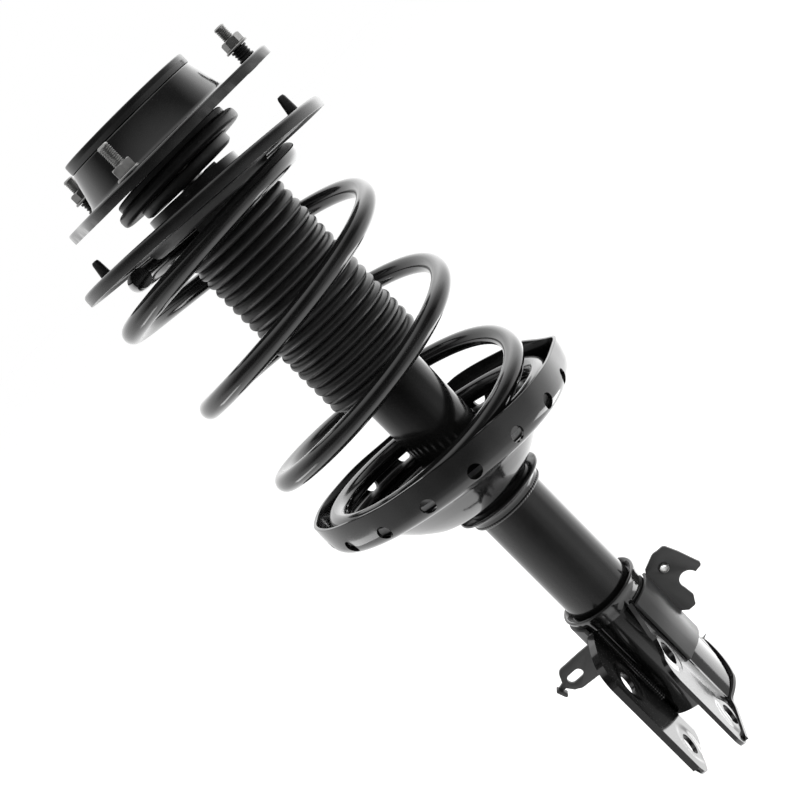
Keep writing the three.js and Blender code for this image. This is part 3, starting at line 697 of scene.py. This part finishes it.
# %% Upper seat and its insulator
PEGS = [polar(reach, math.radians(angle)) for reach, angle in ((85, -8), (78, 196))]
PEG_HOLE, NECK_TOP = 4.3, -29.0
pan = turned("upper_seat_pan", [
    (98.5, -4), (98.5, 4), (82, 4), (66, 4), (58, 3.6), (50, 2.2), (41.5, -0.4), (35.8, 2.4), (35.5, 12)],
    160, closed=False)
soften(pan, 2.8, 4, 14)
thicken(pan, 2.4)
soften(pan, 0.35, 2, 50)
for spot in PEGS:
    combine(pan, rod("peg_hole", spot, PEG_HOLE, 30, "Z"), "DIFFERENCE")
moved(pan, UPPER_PLACE)
cut_level(pan, NECK_TOP, 1)
hand_over(pan, "satin_paint", "spring_top", "upper_spring_seat")

insulator = turned("insulator_ring", [
    (37.6, -9.6), (45, -9.6), (47.2, -8.2), (48.6, -5.4), (49.6, -3.6), (51, -3.1), (74, -3.1), (80, -2.9),
    (88.6, -2.2), (90, -1.2), (90, 0.9), (66, 0.9), (56, -0.1), (39.5, -3.4), (37.6, -3.4)], 144)
soften(insulator, 0.4)
for spot in PEGS:
    peg = turned("peg", [(0, -2), (3.9, -2), (3.9, 5), (3.8, 6.4), (2.8, 15.4), (2.1, 16.8), (0, 17.1)], 40,
                 closed=False)
    moved(peg, Matrix.Translation(Vector(spot) * MM))
    combine(insulator, peg, "UNION")
moved(insulator, UPPER_PLACE)
hand_over(insulator, "moulded_rubber", "spring_top", "upper_insulator")

# %% [markdown]
# ## Dust boot
# The boot is a blow-moulded rubber bellows. Each fold is a rounded crest between tight
# valleys, so its profile comes from one rule for the radius at a height, and a thin wall is
# added afterwards. It hangs from the upper seat.

# %% Dust boot
BOOT_TOP, BOOT_BOTTOM = -62.5, -207.0
BOOT_CREST, BOOT_VALLEY, BOOT_FOLDS, FOLD_STEPS = 39.5, 35.2, 18, 10


def boot_profile():
    first, last = BOOT_TOP - 4, BOOT_BOTTOM + 4
    step = (first - last) / BOOT_FOLDS
    points = [(33.5, BOOT_TOP), (35.0, BOOT_TOP - 0.6), (BOOT_VALLEY, BOOT_TOP - 2)]
    for i in range(BOOT_FOLDS * FOLD_STEPS + 1):
        phase = i / FOLD_STEPS
        crest = abs(math.sin(math.pi * phase)) ** 0.62
        points.append((BOOT_VALLEY + (BOOT_CREST - BOOT_VALLEY) * crest, first - phase * step))
    return points + [(BOOT_VALLEY, BOOT_BOTTOM + 1.2), (BOOT_VALLEY + 0.4, BOOT_BOTTOM)]


boot = turned("dust_boot_bellows", boot_profile(), 112, closed=False)
thicken(boot, 1.2)
hand_over(boot, "boot_rubber", "spring_top", "dust_boot", angle=75)
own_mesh(boot)

# %% [markdown]
# ## Coil spring
# The wire is one round bar, wound by a coiling machine: a small flat end coil at the top,
# even turns in the middle and a last turn that lies in the lower seat. A loop works out the
# centre line, and a curve with a round bevel follows it before it becomes a mesh. The bar is
# cut off square at both ends.

# %% Spring wire
WIRE_RADIUS, COIL_TURNS, COIL_PITCH = 6.8, 4.72, 69.3
PIGTAIL, OPEN_COIL, SEATED_COIL = 62.0, 85.5, 83.0
COIL_TOP, COIL_START = -55.0, math.radians(-141)
PIGTAIL_SHIFT, COIL_SHIFT = -8.0, -10.5
STEPS_PER_TURN = 96


def ease(t):
    t = min(1.0, max(0.0, t))
    return t * t * (3 - 2 * t)


def coil_line():
    steps = round(COIL_TURNS * STEPS_PER_TURN)
    height, points = COIL_TOP, []
    for i in range(steps + 1):
        turn = COIL_TURNS * i / steps
        angle = COIL_START - math.tau * turn
        opened = ease((turn - 0.45) / 0.6)
        top, bottom = 1 - ease((turn - 0.3) / 0.8), ease((turn - 3.5) / 0.7)
        radius = PIGTAIL + (OPEN_COIL - PIGTAIL) * opened + (SEATED_COIL - OPEN_COIL) * bottom
        shift = PIGTAIL_SHIFT + (COIL_SHIFT - PIGTAIL_SHIFT) * opened + (LOWER_OFFSET - COIL_SHIFT) * bottom
        x = shift * LEAN_WAY.x + radius * math.cos(angle)
        y = shift * LEAN_WAY.y + radius * math.sin(angle)
        tilt = (UPPER_SLOPE[0] * x + UPPER_SLOPE[1] * y) * top
        tilt += (LOWER_SLOPE[0] * x + LOWER_SLOPE[1] * y) * bottom
        tilt -= 0.015 * radius * math.cos(angle - LEAN) * (1 - top - bottom)
        points.append(Vector((x, y, height + tilt)))
        drop = (0.05 + 0.95 * ease((turn - 0.6) / 0.47)) * (1 - 0.94 * ease((turn - 3.45) / 0.75))
        height -= COIL_PITCH * drop * COIL_TURNS / steps
    return points


def bar_along(name, points, radius, sides=16):
    """A round bar that follows points, with flat ends, as a mesh."""
    data = bpy.data.curves.new(name, "CURVE")
    data.dimensions, data.bevel_depth, data.bevel_resolution = "3D", radius * MM, sides // 2
    data.use_fill_caps = True
    spline = data.splines.new("POLY")
    spline.points.add(len(points) - 1)
    for knot, at in zip(spline.points, points):
        knot.co = (*(Vector(at) * MM), 1)
    bar = bpy.data.objects.new(name, data)
    bpy.context.scene.collection.objects.link(bar)
    only(bar)
    bpy.ops.object.convert(target="MESH")
    return settle(bpy.context.object)


spring = bar_along("coil_spring_wire", coil_line(), WIRE_RADIUS, 24)
soften(spring, 0.6, 2, 60)
hand_over(spring, "spring_coat", "spring_top", "coil_spring")
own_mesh(spring)

# %% [markdown]
# ## Damper tube and lower seat
# The tube is plain, with a dished cap welded in its foot. The lower seat is a deep pan with
# drain holes round its wall, and a bowl below that comes down to a flanged support ring.
# A weld bead holds the ring to the tube. The pan is pressed like the upper one, and its
# holes are cut one after another by a bar that is turned on round the axis.

# %% Tube and caps
TUBE_RADIUS, TUBE_TOP, TUBE_BOTTOM = 25.5, -201.0, -525.0
tube = turned("damper_tube", [(23, TUBE_BOTTOM), (TUBE_RADIUS, TUBE_BOTTOM), (TUBE_RADIUS, -430),
                              (TUBE_RADIUS, -330), (TUBE_RADIUS, TUBE_TOP), (23, TUBE_TOP)], 144)
hand_over(soften(tube, 0.4), "dip_paint", "strut", "strut_tube")
foot_cap = turned("tube_foot_cap", [
    (0, TUBE_BOTTOM + 2), (17, TUBE_BOTTOM + 2), (21, TUBE_BOTTOM + 4), (22.7, TUBE_BOTTOM + 7),
    (22.7, TUBE_BOTTOM - 1), (21, TUBE_BOTTOM - 3), (17, TUBE_BOTTOM - 5.4), (8, TUBE_BOTTOM - 6.8),
    (0, TUBE_BOTTOM - 7)], 96, closed=False)
hand_over(soften(foot_cap, 0.3), "dip_paint", "strut", "tube_bottom_cap")

# %% Lower seat pan
SEAT_RADIUS, WALL_HEIGHT, DRAINS, DRAIN_RADIUS = 100.0, 25.0, 17, 5.2
HEEL_ANGLE, HEEL_DEPTH, STEP_HEIGHT = LEAN, 7.0, 5.0
PAN_FOOT, TUBE_WAY = -318.2, 28.9
floor = -WALL_HEIGHT
lower_pan = turned("lower_seat_pan", [
    (SEAT_RADIUS, 0), (SEAT_RADIUS - 0.3, -6), (SEAT_RADIUS - 1.0, -13), (SEAT_RADIUS - 2, floor + 5),
    (SEAT_RADIUS - 7, floor), (84, floor - 0.8), (76, floor - 1.5), (68, floor - 5), (63, floor - 9.5),
    (56, floor - 16), (50, floor - 21.2), (42, floor - 26.8), (36.5, floor - 30.2), (31, floor - 31)],
    204, closed=False)
soften(lower_pan, 3.2, 4, 14)


def rimmed(x, y, z):
    """Waves the wall's edge a little, bulges the heel and raises the step behind it."""
    if z < floor:
        return x, y, z
    angle, share = math.atan2(y, x), (z - floor) / WALL_HEIGHT
    wave = 0.35 * math.sin(5 * angle + 0.8) + 0.2 * math.sin(11 * angle)
    heel = math.exp(-((angle - HEEL_ANGLE) / 0.24) ** 2)
    step = ease((angle - HEEL_ANGLE - 0.1) / 0.4) * ease((HEEL_ANGLE + 1.5 - angle) / 0.4)
    stretch = 1 + HEEL_DEPTH * heel * ease(0.4 + share) / math.hypot(x, y)
    return x * stretch, y * stretch, z + share * (wave + STEP_HEIGHT * step)


shaped(lower_pan, rimmed)
thicken(lower_pan, 2.5)
soften(lower_pan, 0.45, 2, 50)
for i in range(DRAINS):
    a = LEAN - math.pi / 2 + math.radians(3 + 360 * i / DRAINS)
    hole = rod("drain", (SEAT_RADIUS, 0, floor + 8), DRAIN_RADIUS, 24, "X", 24)
    moved(hole, Matrix.Rotation(a, 4, "Z"))
    combine(lower_pan, hole, "DIFFERENCE")
soften(lower_pan, 0.5, 2, 50)
moved(lower_pan, LOWER_PLACE)
combine(lower_pan, rod("tube_way", (0, 0, -310), TUBE_WAY, 200, "Z", 96), "DIFFERENCE")
cut_level(lower_pan, PAN_FOOT, -1)
hand_over(lower_pan, "dip_paint", "strut", "lower_spring_seat", angle=18)

seat_pad = turned("lower_seat_cushion", [(76.5, floor + 3.1), (90, floor + 3.1), (90, floor + 4.7),
                                         (76.5, floor + 4.7)], 120)
moved(soften(seat_pad, 0.5), LOWER_PLACE)
hand_over(seat_pad, "moulded_rubber", "strut", "lower_seat_pad")

support = turned("seat_support_ring", [
    (25.8, -318.5), (34.4, -318.5), (35, -319.1), (35, -320.3), (34.2, -320.9), (31.4, -321.4),
    (29.4, -323), (28.6, -325), (28.6, -327.0), (28.1, -327.5), (25.8, -327.5)], 144)
hand_over(soften(support, 0.3), "dip_paint", "strut", "seat_support_collar")

# %% [markdown]
# ## Knuckle bracket
# One heavy sheet is wrapped round the tube from behind and leaves it forward as two ears.
# It starts as a grid: one way runs along the sheet's path seen from above, the other way up
# the sheet. A rule lays each corner of the grid on the path, between the lower and the upper
# edge of the sheet there. Flanges are then extruded outwards from the ears' edges, and the
# sheet gets its thickness. The bends need no bevel, because the path has them in it.

# %% The sheet's path and edges
BOLT_Z, BOLT_Y, BOLT_HOLE, SLOT_LENGTH = -466.5, -50.0, 7.8, 3.6
BOLT_LEVELS = (0.0, -65.0)
WRAP_INSIDE, EAR_HALF, EAR_FRONT, BRACKET_SHEET = 25.8, 15.0, -75.0, 3.2
ROOT_BEND = 6.2


def wrap_path():
    """The inner face of the sheet seen from above, from one ear's front round to the other."""
    bend_x = EAR_HALF + ROOT_BEND
    bend_y = -math.sqrt((WRAP_INSIDE + ROOT_BEND) ** 2 - bend_x ** 2)
    meets = math.degrees(math.atan2(-bend_y, -bend_x))
    ear = [(EAR_HALF, EAR_FRONT + (bend_y - EAR_FRONT) * i / 30) for i in range(30)]
    bend = arc(bend_x, bend_y, ROOT_BEND, 180, meets, 8)
    start = math.degrees(math.atan2(bend[-1][1], bend[-1][0]))
    half = ear + bend + arc(0, 0, WRAP_INSIDE, start, 90, 40)[1:]
    return half + [(-x, y) for x, y in reversed(half[:-1])]


WRAP_TOP = [(-8, 35.5), (30, 35.5)]
OUTBOARD_TOP = [(-90, -9), *reversed(arc(-61, -9, 14, 110, 178, 8)), (-48, 11), (-34, 25), (-27, 34),
                *WRAP_TOP]
INBOARD_TOP = [(-90, 14), (-75, 16), (-74, 20.5), (-72, 24.5), (-68.5, 28.2), (-64, 31), (-55, 33.4),
               (-45, 34.5), *WRAP_TOP]
EAR_FOOT = [(-90, -68), *arc(-64, -68, 11, 182, 262, 8), (-30, -77), (-8, -68), (-2, -61), (8, -46),
            (14, -41), (20, -40), (30, -40)]


def level(edge, y):
    """Height of an edge at a distance forward."""
    for (y0, z0), (y1, z1) in zip(edge, edge[1:]):
        if y0 <= y <= y1:
            return z0 + (z1 - z0) * (y - y0) / max(y1 - y0, 1e-6)
    return edge[-1][1]


PATH = wrap_path()
ROWS = 56


def laid(x, y, z):
    """Takes a grid corner, column and row in x and y, to its place on the sheet."""
    px, py = PATH[round(x)]
    low, high = level(EAR_FOOT, py), level(OUTBOARD_TOP if px > 0 else INBOARD_TOP, py)
    return px, py, low + (high - low) * y / ROWS


bpy.ops.object.select_all(action="DESELECT")
bpy.ops.mesh.primitive_grid_add(x_subdivisions=len(PATH) - 1, y_subdivisions=ROWS, size=2)
bracket = bpy.context.object
bracket.name = "knuckle_clamp"
for corner in bracket.data.vertices:
    corner.co.x = (corner.co.x + 1) / 2 * (len(PATH) - 1) * MM
    corner.co.y = (corner.co.y + 1) / 2 * ROWS * MM
shaped(bracket, laid)
print("bracket sheet", len(PATH), "by", ROWS)

# %% [markdown]
# Each ear has a flange along its lower edge, from its tip back to the side of the wrap. On
# the inboard ear it also runs along the top and down the front. Its edges are selected by
# place and extruded straight outwards.

# %% Ear flanges and pressed hole rims
FLANGE_WIDTH, FLANGE_REACH = 5.2, 34.4
FLANGE_TIP, HEAD_BACK, FLANGE_BACK = -66.0, -30.0, 12.0


def pick_edges(piece, wanted):
    """Selects the boundary edges whose two ends both pass a test, in millimetres."""
    counts = {}
    for face in piece.data.polygons:
        for key in face.edge_keys:
            counts[key] = counts.get(key, 0) + 1
    bpy.ops.object.mode_set(mode="EDIT")
    bpy.ops.mesh.select_mode(type="EDGE")
    bpy.ops.mesh.select_all(action="DESELECT")
    bpy.ops.object.mode_set(mode="OBJECT")
    chosen = 0
    for edge in piece.data.edges:
        ends = [piece.data.vertices[v].co / MM for v in edge.vertices]
        edge.select = counts.get(edge.key, 0) == 1 and all(wanted(p) for p in ends)
        chosen += edge.select
    bpy.ops.object.mode_set(mode="EDIT")
    return chosen


def on_flange(side):
    def test(p):
        if p.x * side <= 0 or p.y > FLANGE_BACK:
            return False
        foot = p.y > FLANGE_TIP and p.z < level(EAR_FOOT, p.y) + 0.5
        front = side < 0 and p.y < EAR_FRONT + 0.2
        head = side < 0 and p.y < HEAD_BACK and p.z > level(INBOARD_TOP, p.y) - 0.5
        return foot or front or head
    return test


bpy.context.view_layer.objects.active = bracket
for side in (1, -1):
    count = pick_edges(bracket, on_flange(side))
    extrude((side * FLANGE_WIDTH, 0, 0))
    print("flange edges", count)
settle(bracket)
if sum(f.normal.y * f.center.y + f.normal.x * f.center.x for f in bracket.data.polygons
       if f.center.y > 0) < 0:
    bpy.ops.object.mode_set(mode="EDIT")
    bpy.ops.mesh.flip_normals()
    bpy.ops.object.mode_set(mode="OBJECT")


def pressed_rims(x, y, z):
    """Raises the sheet a little round each bolt hole."""
    for centre in BOLT_LEVELS:
        near = math.hypot(y - BOLT_Y, z - centre)
        if abs(x) < EAR_HALF + 0.5 and near < 16:
            lift = 0.9 * ease((15.5 - near) / 3.5)
            return x + math.copysign(lift, x), y, z
    return x, y, z


shaped(bracket, pressed_rims)
thicken(bracket, BRACKET_SHEET, 1)


def trimmed(x, y, z):
    """Trims the flange beside the wrap to the reach and height of the rest."""
    reach = math.hypot(x, y)
    if y < -26 or reach <= WRAP_INSIDE + BRACKET_SHEET + 0.4:
        return x, y, z
    share = min(1.0, FLANGE_REACH / reach)
    return x * share, y * share, min(z, -39)


shaped(bracket, trimmed)
soften(bracket, 0.5, 2, 50)
collar = turned("bracket_collar", [
    (25.7, 32), (29.1, 32), (29.2, 36), (30.2, 39.5), (31.2, 42.4), (31.2, 43.6), (30.4, 44.2),
    (29.2, 43.9), (27.6, 41.2), (25.75, 38.4)], 144)
combine(bracket, soften(collar, 0.3), "UNION")
for centre, reach in zip(BOLT_LEVELS, (SLOT_LENGTH, 0.0)):
    hole = plate("bolt_hole", arc(BOLT_Y, centre, BOLT_HOLE, -90, 90, 18)
                 + arc(BOLT_Y - reach, centre, BOLT_HOLE, 90, 270, 18), -60, 60, "X")
    combine(bracket, hole, "DIFFERENCE")
BRACKET_PLACE = Matrix.Translation((0, 0, BOLT_Z * MM))
moved(bracket, BRACKET_PLACE)
hand_over(bracket, "dip_paint", "strut", "knuckle_bracket")

# %% [markdown]
# ## Weld beads
# An arc weld leaves a bead of small overlapping scales. A round bar follows the joint, and
# a rule swells and narrows it along its length.

# %% Beads between the tube and its parts
SCALE_LENGTH = 2.2


def ring(radius, height):
    return [polar(radius, a / 100, height) for a in range(0, 629, 2)]


def weld_bead(name, points, radius):
    """A scaled bead along evenly spaced points."""
    bead = bar_along(name, points, radius, 12)
    line = [Vector(p) for p in points]
    spacing = (line[1] - line[0]).length

    def scaled(x, y, z):
        at = Vector((x, y, z))
        nearest = min(range(len(line)), key=lambda i: (line[i] - at).length_squared)
        along = (nearest * spacing / SCALE_LENGTH) % 1.0
        size = 0.78 + 0.3 * math.sin(math.pi * along)
        return line[nearest] + (at - line[nearest]) * size

    return shaped(bead, scaled)


hand_over(weld_bead("seat_weld", ring(27.3, -328.2), 1.7), "dip_paint", "strut", angle=80)
for side, name in ((1, "outboard"), (-1, "inboard")):
    seam = [(side * 14.6, -21.6, z / 2 + BOLT_Z) for z in range(60, -84, -1)]
    hand_over(weld_bead(f"ear_weld_{name}", seam, 1.3), "dip_paint", "strut", angle=80)
hand_over(weld_bead("collar_weld", ring(25.9, BOLT_Z + 38.8), 1.0), "dip_paint", "strut", angle=80)

# %% [markdown]
# ## Hose bracket and cable bracket
# Each is a strap that hugs one side of the wrap, with its front edge folded in to the ear
# and a plate that stands out. The strap is drawn from above, the plate from the front, and a
# union makes them one piece. Rounded edges catch the light as stamped steel does.

# %% Straps
STRAP = 2.4
HOSE_HOLE = (44, 5, 24)


def strap(name, side, low, high):
    inner = WRAP_INSIDE + BRACKET_SHEET + 0.6
    outer = inner + STRAP
    fold = EAR_HALF + BRACKET_SHEET + 0.3
    outline = [*arc(0, 0, outer, -38, 12, 24), *arc(0, 0, inner, 12, -38, 24), (fold, -23.8),
               (fold, -26.2), (20.6, -26.2)]
    return plate(name, [(side * x, y) for x, y in outline], low, high)


hose = strap("hose_bracket_sheet", 1, -27, 30)
hose_outline = [(30.5, 27), (33, 31), *arc(46, 29.5, 7.4, 118, 75, 6), *arc(52, 33.4, 3.6, 75, 20, 5),
                (59, 27), *arc(62.4, 10.6, 2.6, 35, -90, 8), (59.5, 7.4), *arc(51.4, 5.2, 7.1, 15, 200, 20),
                (45.6, -3.6), *arc(43.4, -5.4, 2.4, 20, -40, 5), *arc(40.6, -10.2, 2.6, -10, -80, 5),
                (36, -13), (30.5, -9)]
combine(hose, plate("hose_plate", hose_outline, HOSE_HOLE[1], HOSE_HOLE[1] + STRAP, "Y"), "UNION")
combine(hose, rod("insert_hole", HOSE_HOLE, 3.9, 20, "Y"), "DIFFERENCE")
moved(soften(hose, 0.45, 3, 30), BRACKET_PLACE)
# Both straps take the lighter paint, a painted sheen for the light that falls on them.
hand_over(hose, "lit_sheet_paint", "strut", "hose_bracket")

insert = turned("hose_insert_bush", [(2.6, -1.4), (3.2, -1.4), (3.6, -1.0), (3.6, 4.5), (4.6, 4.5), (5, 4.9),
                                     (5, 5.7), (4.7, 6), (2.6, 6)], 48)
moved(soften(insert, 0.15), Matrix.Rotation(-math.pi / 2, 4, "X"))
moved(insert, BRACKET_PLACE @ Matrix.Translation(Vector(HOSE_HOLE) * MM))
hand_over(insert, "zinc", "strut", "hose_bracket_insert")

cable = strap("cable_bracket_sheet", -1, -11, 37)
CABLE_Y = -4
cable_outline = [(-30.5, 17), (-42, 16.6), (-55, 15.6), *arc(-58.6, 10.4, 5, 90, 160, 6), (-66, 6),
                 (-71.4, 4.2), *arc(-71.6, 2.6, 1.4, 100, 260, 6), (-66.4, 1.4), (-62.4, -3.6),
                 *arc(-56, 0.2, 6.2, 230, 270, 4), (-43, -6), (-30.5, -9)]
combine(cable, plate("cable_plate", cable_outline, CABLE_Y, CABLE_Y + STRAP, "Y"), "UNION")
hook_outline = [(-72.9, 4.4), (-71.2, 6.0), *arc(-69.2, -1.6, 1.4, 20, -160, 6)]
combine(cable, plate("cable_hook", hook_outline, CABLE_Y - 3, CABLE_Y + STRAP, "Y"), "UNION")
slot_outline = arc(-58, 4.4, 3.7, 90, 270, 12) + arc(-52, 4.8, 3.7, -90, 90, 12)
combine(cable, plate("cable_slot", slot_outline, -20, 20, "Y"), "DIFFERENCE")
moved(soften(cable, 0.45, 3, 30), BRACKET_PLACE)
# The lighter paint here is a painted sheen, not a different colour of the steel.
hand_over(cable, "lit_sheet_paint", "strut", "cable_bracket")

# %% [markdown]
# ## Hidden pieces
# What is inside the damper and under the boot keeps its CAD shape, which is right, and gets
# the finish of the real thing.

# %% Finishes of the CAD nodes that stay
KEPT = {
    "ball_cage": "bare_steel", "bump_stop": "foam", "rebound_stop": "moulded_rubber",
    "piston": "bare_steel", "piston_nut": "zinc", "tube_end_cap": "satin_paint",
    "rod_guide": "bare_steel", "rod_seal": "moulded_rubber", "pressure_cylinder": "bare_steel",
    "base_valve": "bare_steel",
}
for node, finish in KEPT.items():
    for slot_of_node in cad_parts[node].material_slots:
        slot_of_node.material = FINISHES[finish]
print(len(MADE), "pieces made and", len(KEPT), "CAD nodes kept")

# %% [markdown]
# ## Studio
# Black gloss is lit by what it reflects. The room is white behind the strut and dim behind
# the camera, with a few large soft boxes, so that round shapes get long bright streaks and
# stay deep black between them. The floor is plain and pale, and it is kept out of the
# reflections, because it would turn every black piece grey from below.

# %% Floor and world
bpy.ops.object.select_all(action="DESELECT")
floor_level = CAD_BOX[0].z - 0.15
bpy.ops.mesh.primitive_plane_add(size=40, location=(0, 0, floor_level))
ground = bpy.context.object
ground.name = "floor"
pale = bpy.data.materials.new("pale_floor")
pale.use_nodes = True
for socket, value in (("Base Color", (1, 1, 1, 1)), ("Roughness", 0.9), ("Specular IOR Level", 0.0)):
    pale.node_tree.nodes["Principled BSDF"].inputs[socket].default_value = value
ground.data.materials.append(pale)
ground.visible_glossy = False

world = bpy.data.worlds.new("studio")
bpy.context.scene.world = world
world.use_nodes = True
sky = world.node_tree
sky.nodes.clear()
way = put(sky, "TexCoord").outputs["Generated"]

# Brightness of the reflected room, by the way it lies round the strut in degrees: 0 is the
# camera's side, positive is to its right, and 180 is behind the strut.
ROOM = ((-180, 1.0), (-134, 0.85), (-97, 0.8), (-71, 0.65), (-50, 0.45), (-29, 0.25), (-9, 0.14), (9, 0.14),
        (29, 0.34), (50, 0.55), (74, 0.5), (97, 1.1), (125, 1.7), (150, 2.2), (180, 1.2))
ROOM_TOP = 3.0
rightward = TOWARDS_CAMERA.cross(Vector((0, 0, -1))).normalized()
ahead = Vector((TOWARDS_CAMERA.x, TOWARDS_CAMERA.y, 0)).normalized()
across, along = (put(sky, "VectorMath", operation="DOT_PRODUCT", in0=way, in1=tuple(axis)).outputs["Value"]
                 for axis in (rightward, ahead))
bearing = put(sky, "Math", operation="ARCTAN2", in0=across, in1=along).outputs[0]
walls = put(sky, "ValToRGB", Fac=ranged(sky, bearing, -math.pi, math.pi))
walls.color_ramp.interpolation = "EASE"
for degrees, _ in ROOM[1:-1]:
    walls.color_ramp.elements.new((degrees + 180) / 360)
for element, (_, brightness) in zip(walls.color_ramp.elements, ROOM):
    element.color = (*(brightness / ROOM_TOP,) * 3, 1)
wall_light = times(sky, walls.outputs["Color"], ROOM_TOP)

# In front of the strut the room darkens above the horizon. The ceiling and the floor are bright.
height_of = put(sky, "SeparateXYZ", Vector=way).outputs["Z"]
above = ranged(sky, height_of, -0.12, 0.15, 1.0, 0.12)
front = ranged(sky, along, -0.5, 0.1)
dimmed = times(sky, wall_light, mixed(sky, front, 1.0, above))
ceilinged = mixed(sky, ranged(sky, height_of, 0.62, 0.9), dimmed, 1.0)
room = mixed(sky, ranged(sky, height_of, -0.8, -0.35, 1.0, 0.0), ceilinged, 1.4)
bright = mixed(sky, put(sky, "LightPath").outputs["Is Glossy Ray"], 1.0, room)
light = put(sky, "Background", Color=(1, 1, 1, 1), Strength=bright)
out = sky.nodes.new("ShaderNodeOutputWorld")
sky.links.new(light.outputs[0], out.inputs["Surface"])


# %% Soft boxes
def soft_box(name, place, aim, size, power, shows=False):
    data = bpy.data.lights.new(name, "AREA")
    data.shape = "RECTANGLE"
    data.size, data.size_y = size
    data.energy = power
    box = bpy.data.objects.new(name, data)
    bpy.context.scene.collection.objects.link(box)
    box.location = place
    box.rotation_mode = "QUATERNION"
    box.rotation_quaternion = (Vector(aim) - Vector(place)).to_track_quat("-Z", "Y")
    box.visible_camera = False
    box.visible_glossy = shows


MIDDLE = Vector((0, 0, -0.28))
soft_box("key", (1.6, -0.9, 0.5), MIDDLE, (0.5, 1.8), 24)
soft_box("fill", (-1.3, -1.3, -0.2), MIDDLE, (0.4, 1.6), 6)
soft_box("top", (0.2, -0.4, 1.6), MIDDLE, (1.6, 1.0), 16)
soft_box("bracket_glow", (0.42, 0.26, -0.76), (0.0, 0.0, -0.49), (0.55, 0.15), 1.0, True)
soft_box("seat_glow", (-0.58, -0.10, -0.45), (0.0, 0.0, -0.27), (0.36, 0.10), 0.3, True)
bpy.context.scene.view_settings.view_transform = "Standard"
bpy.context.scene.view_settings.look = "None"

# %% Sizes and finish
print("CAD box", [tuple(round(v, 4) for v in c) for c in CAD_BOX])
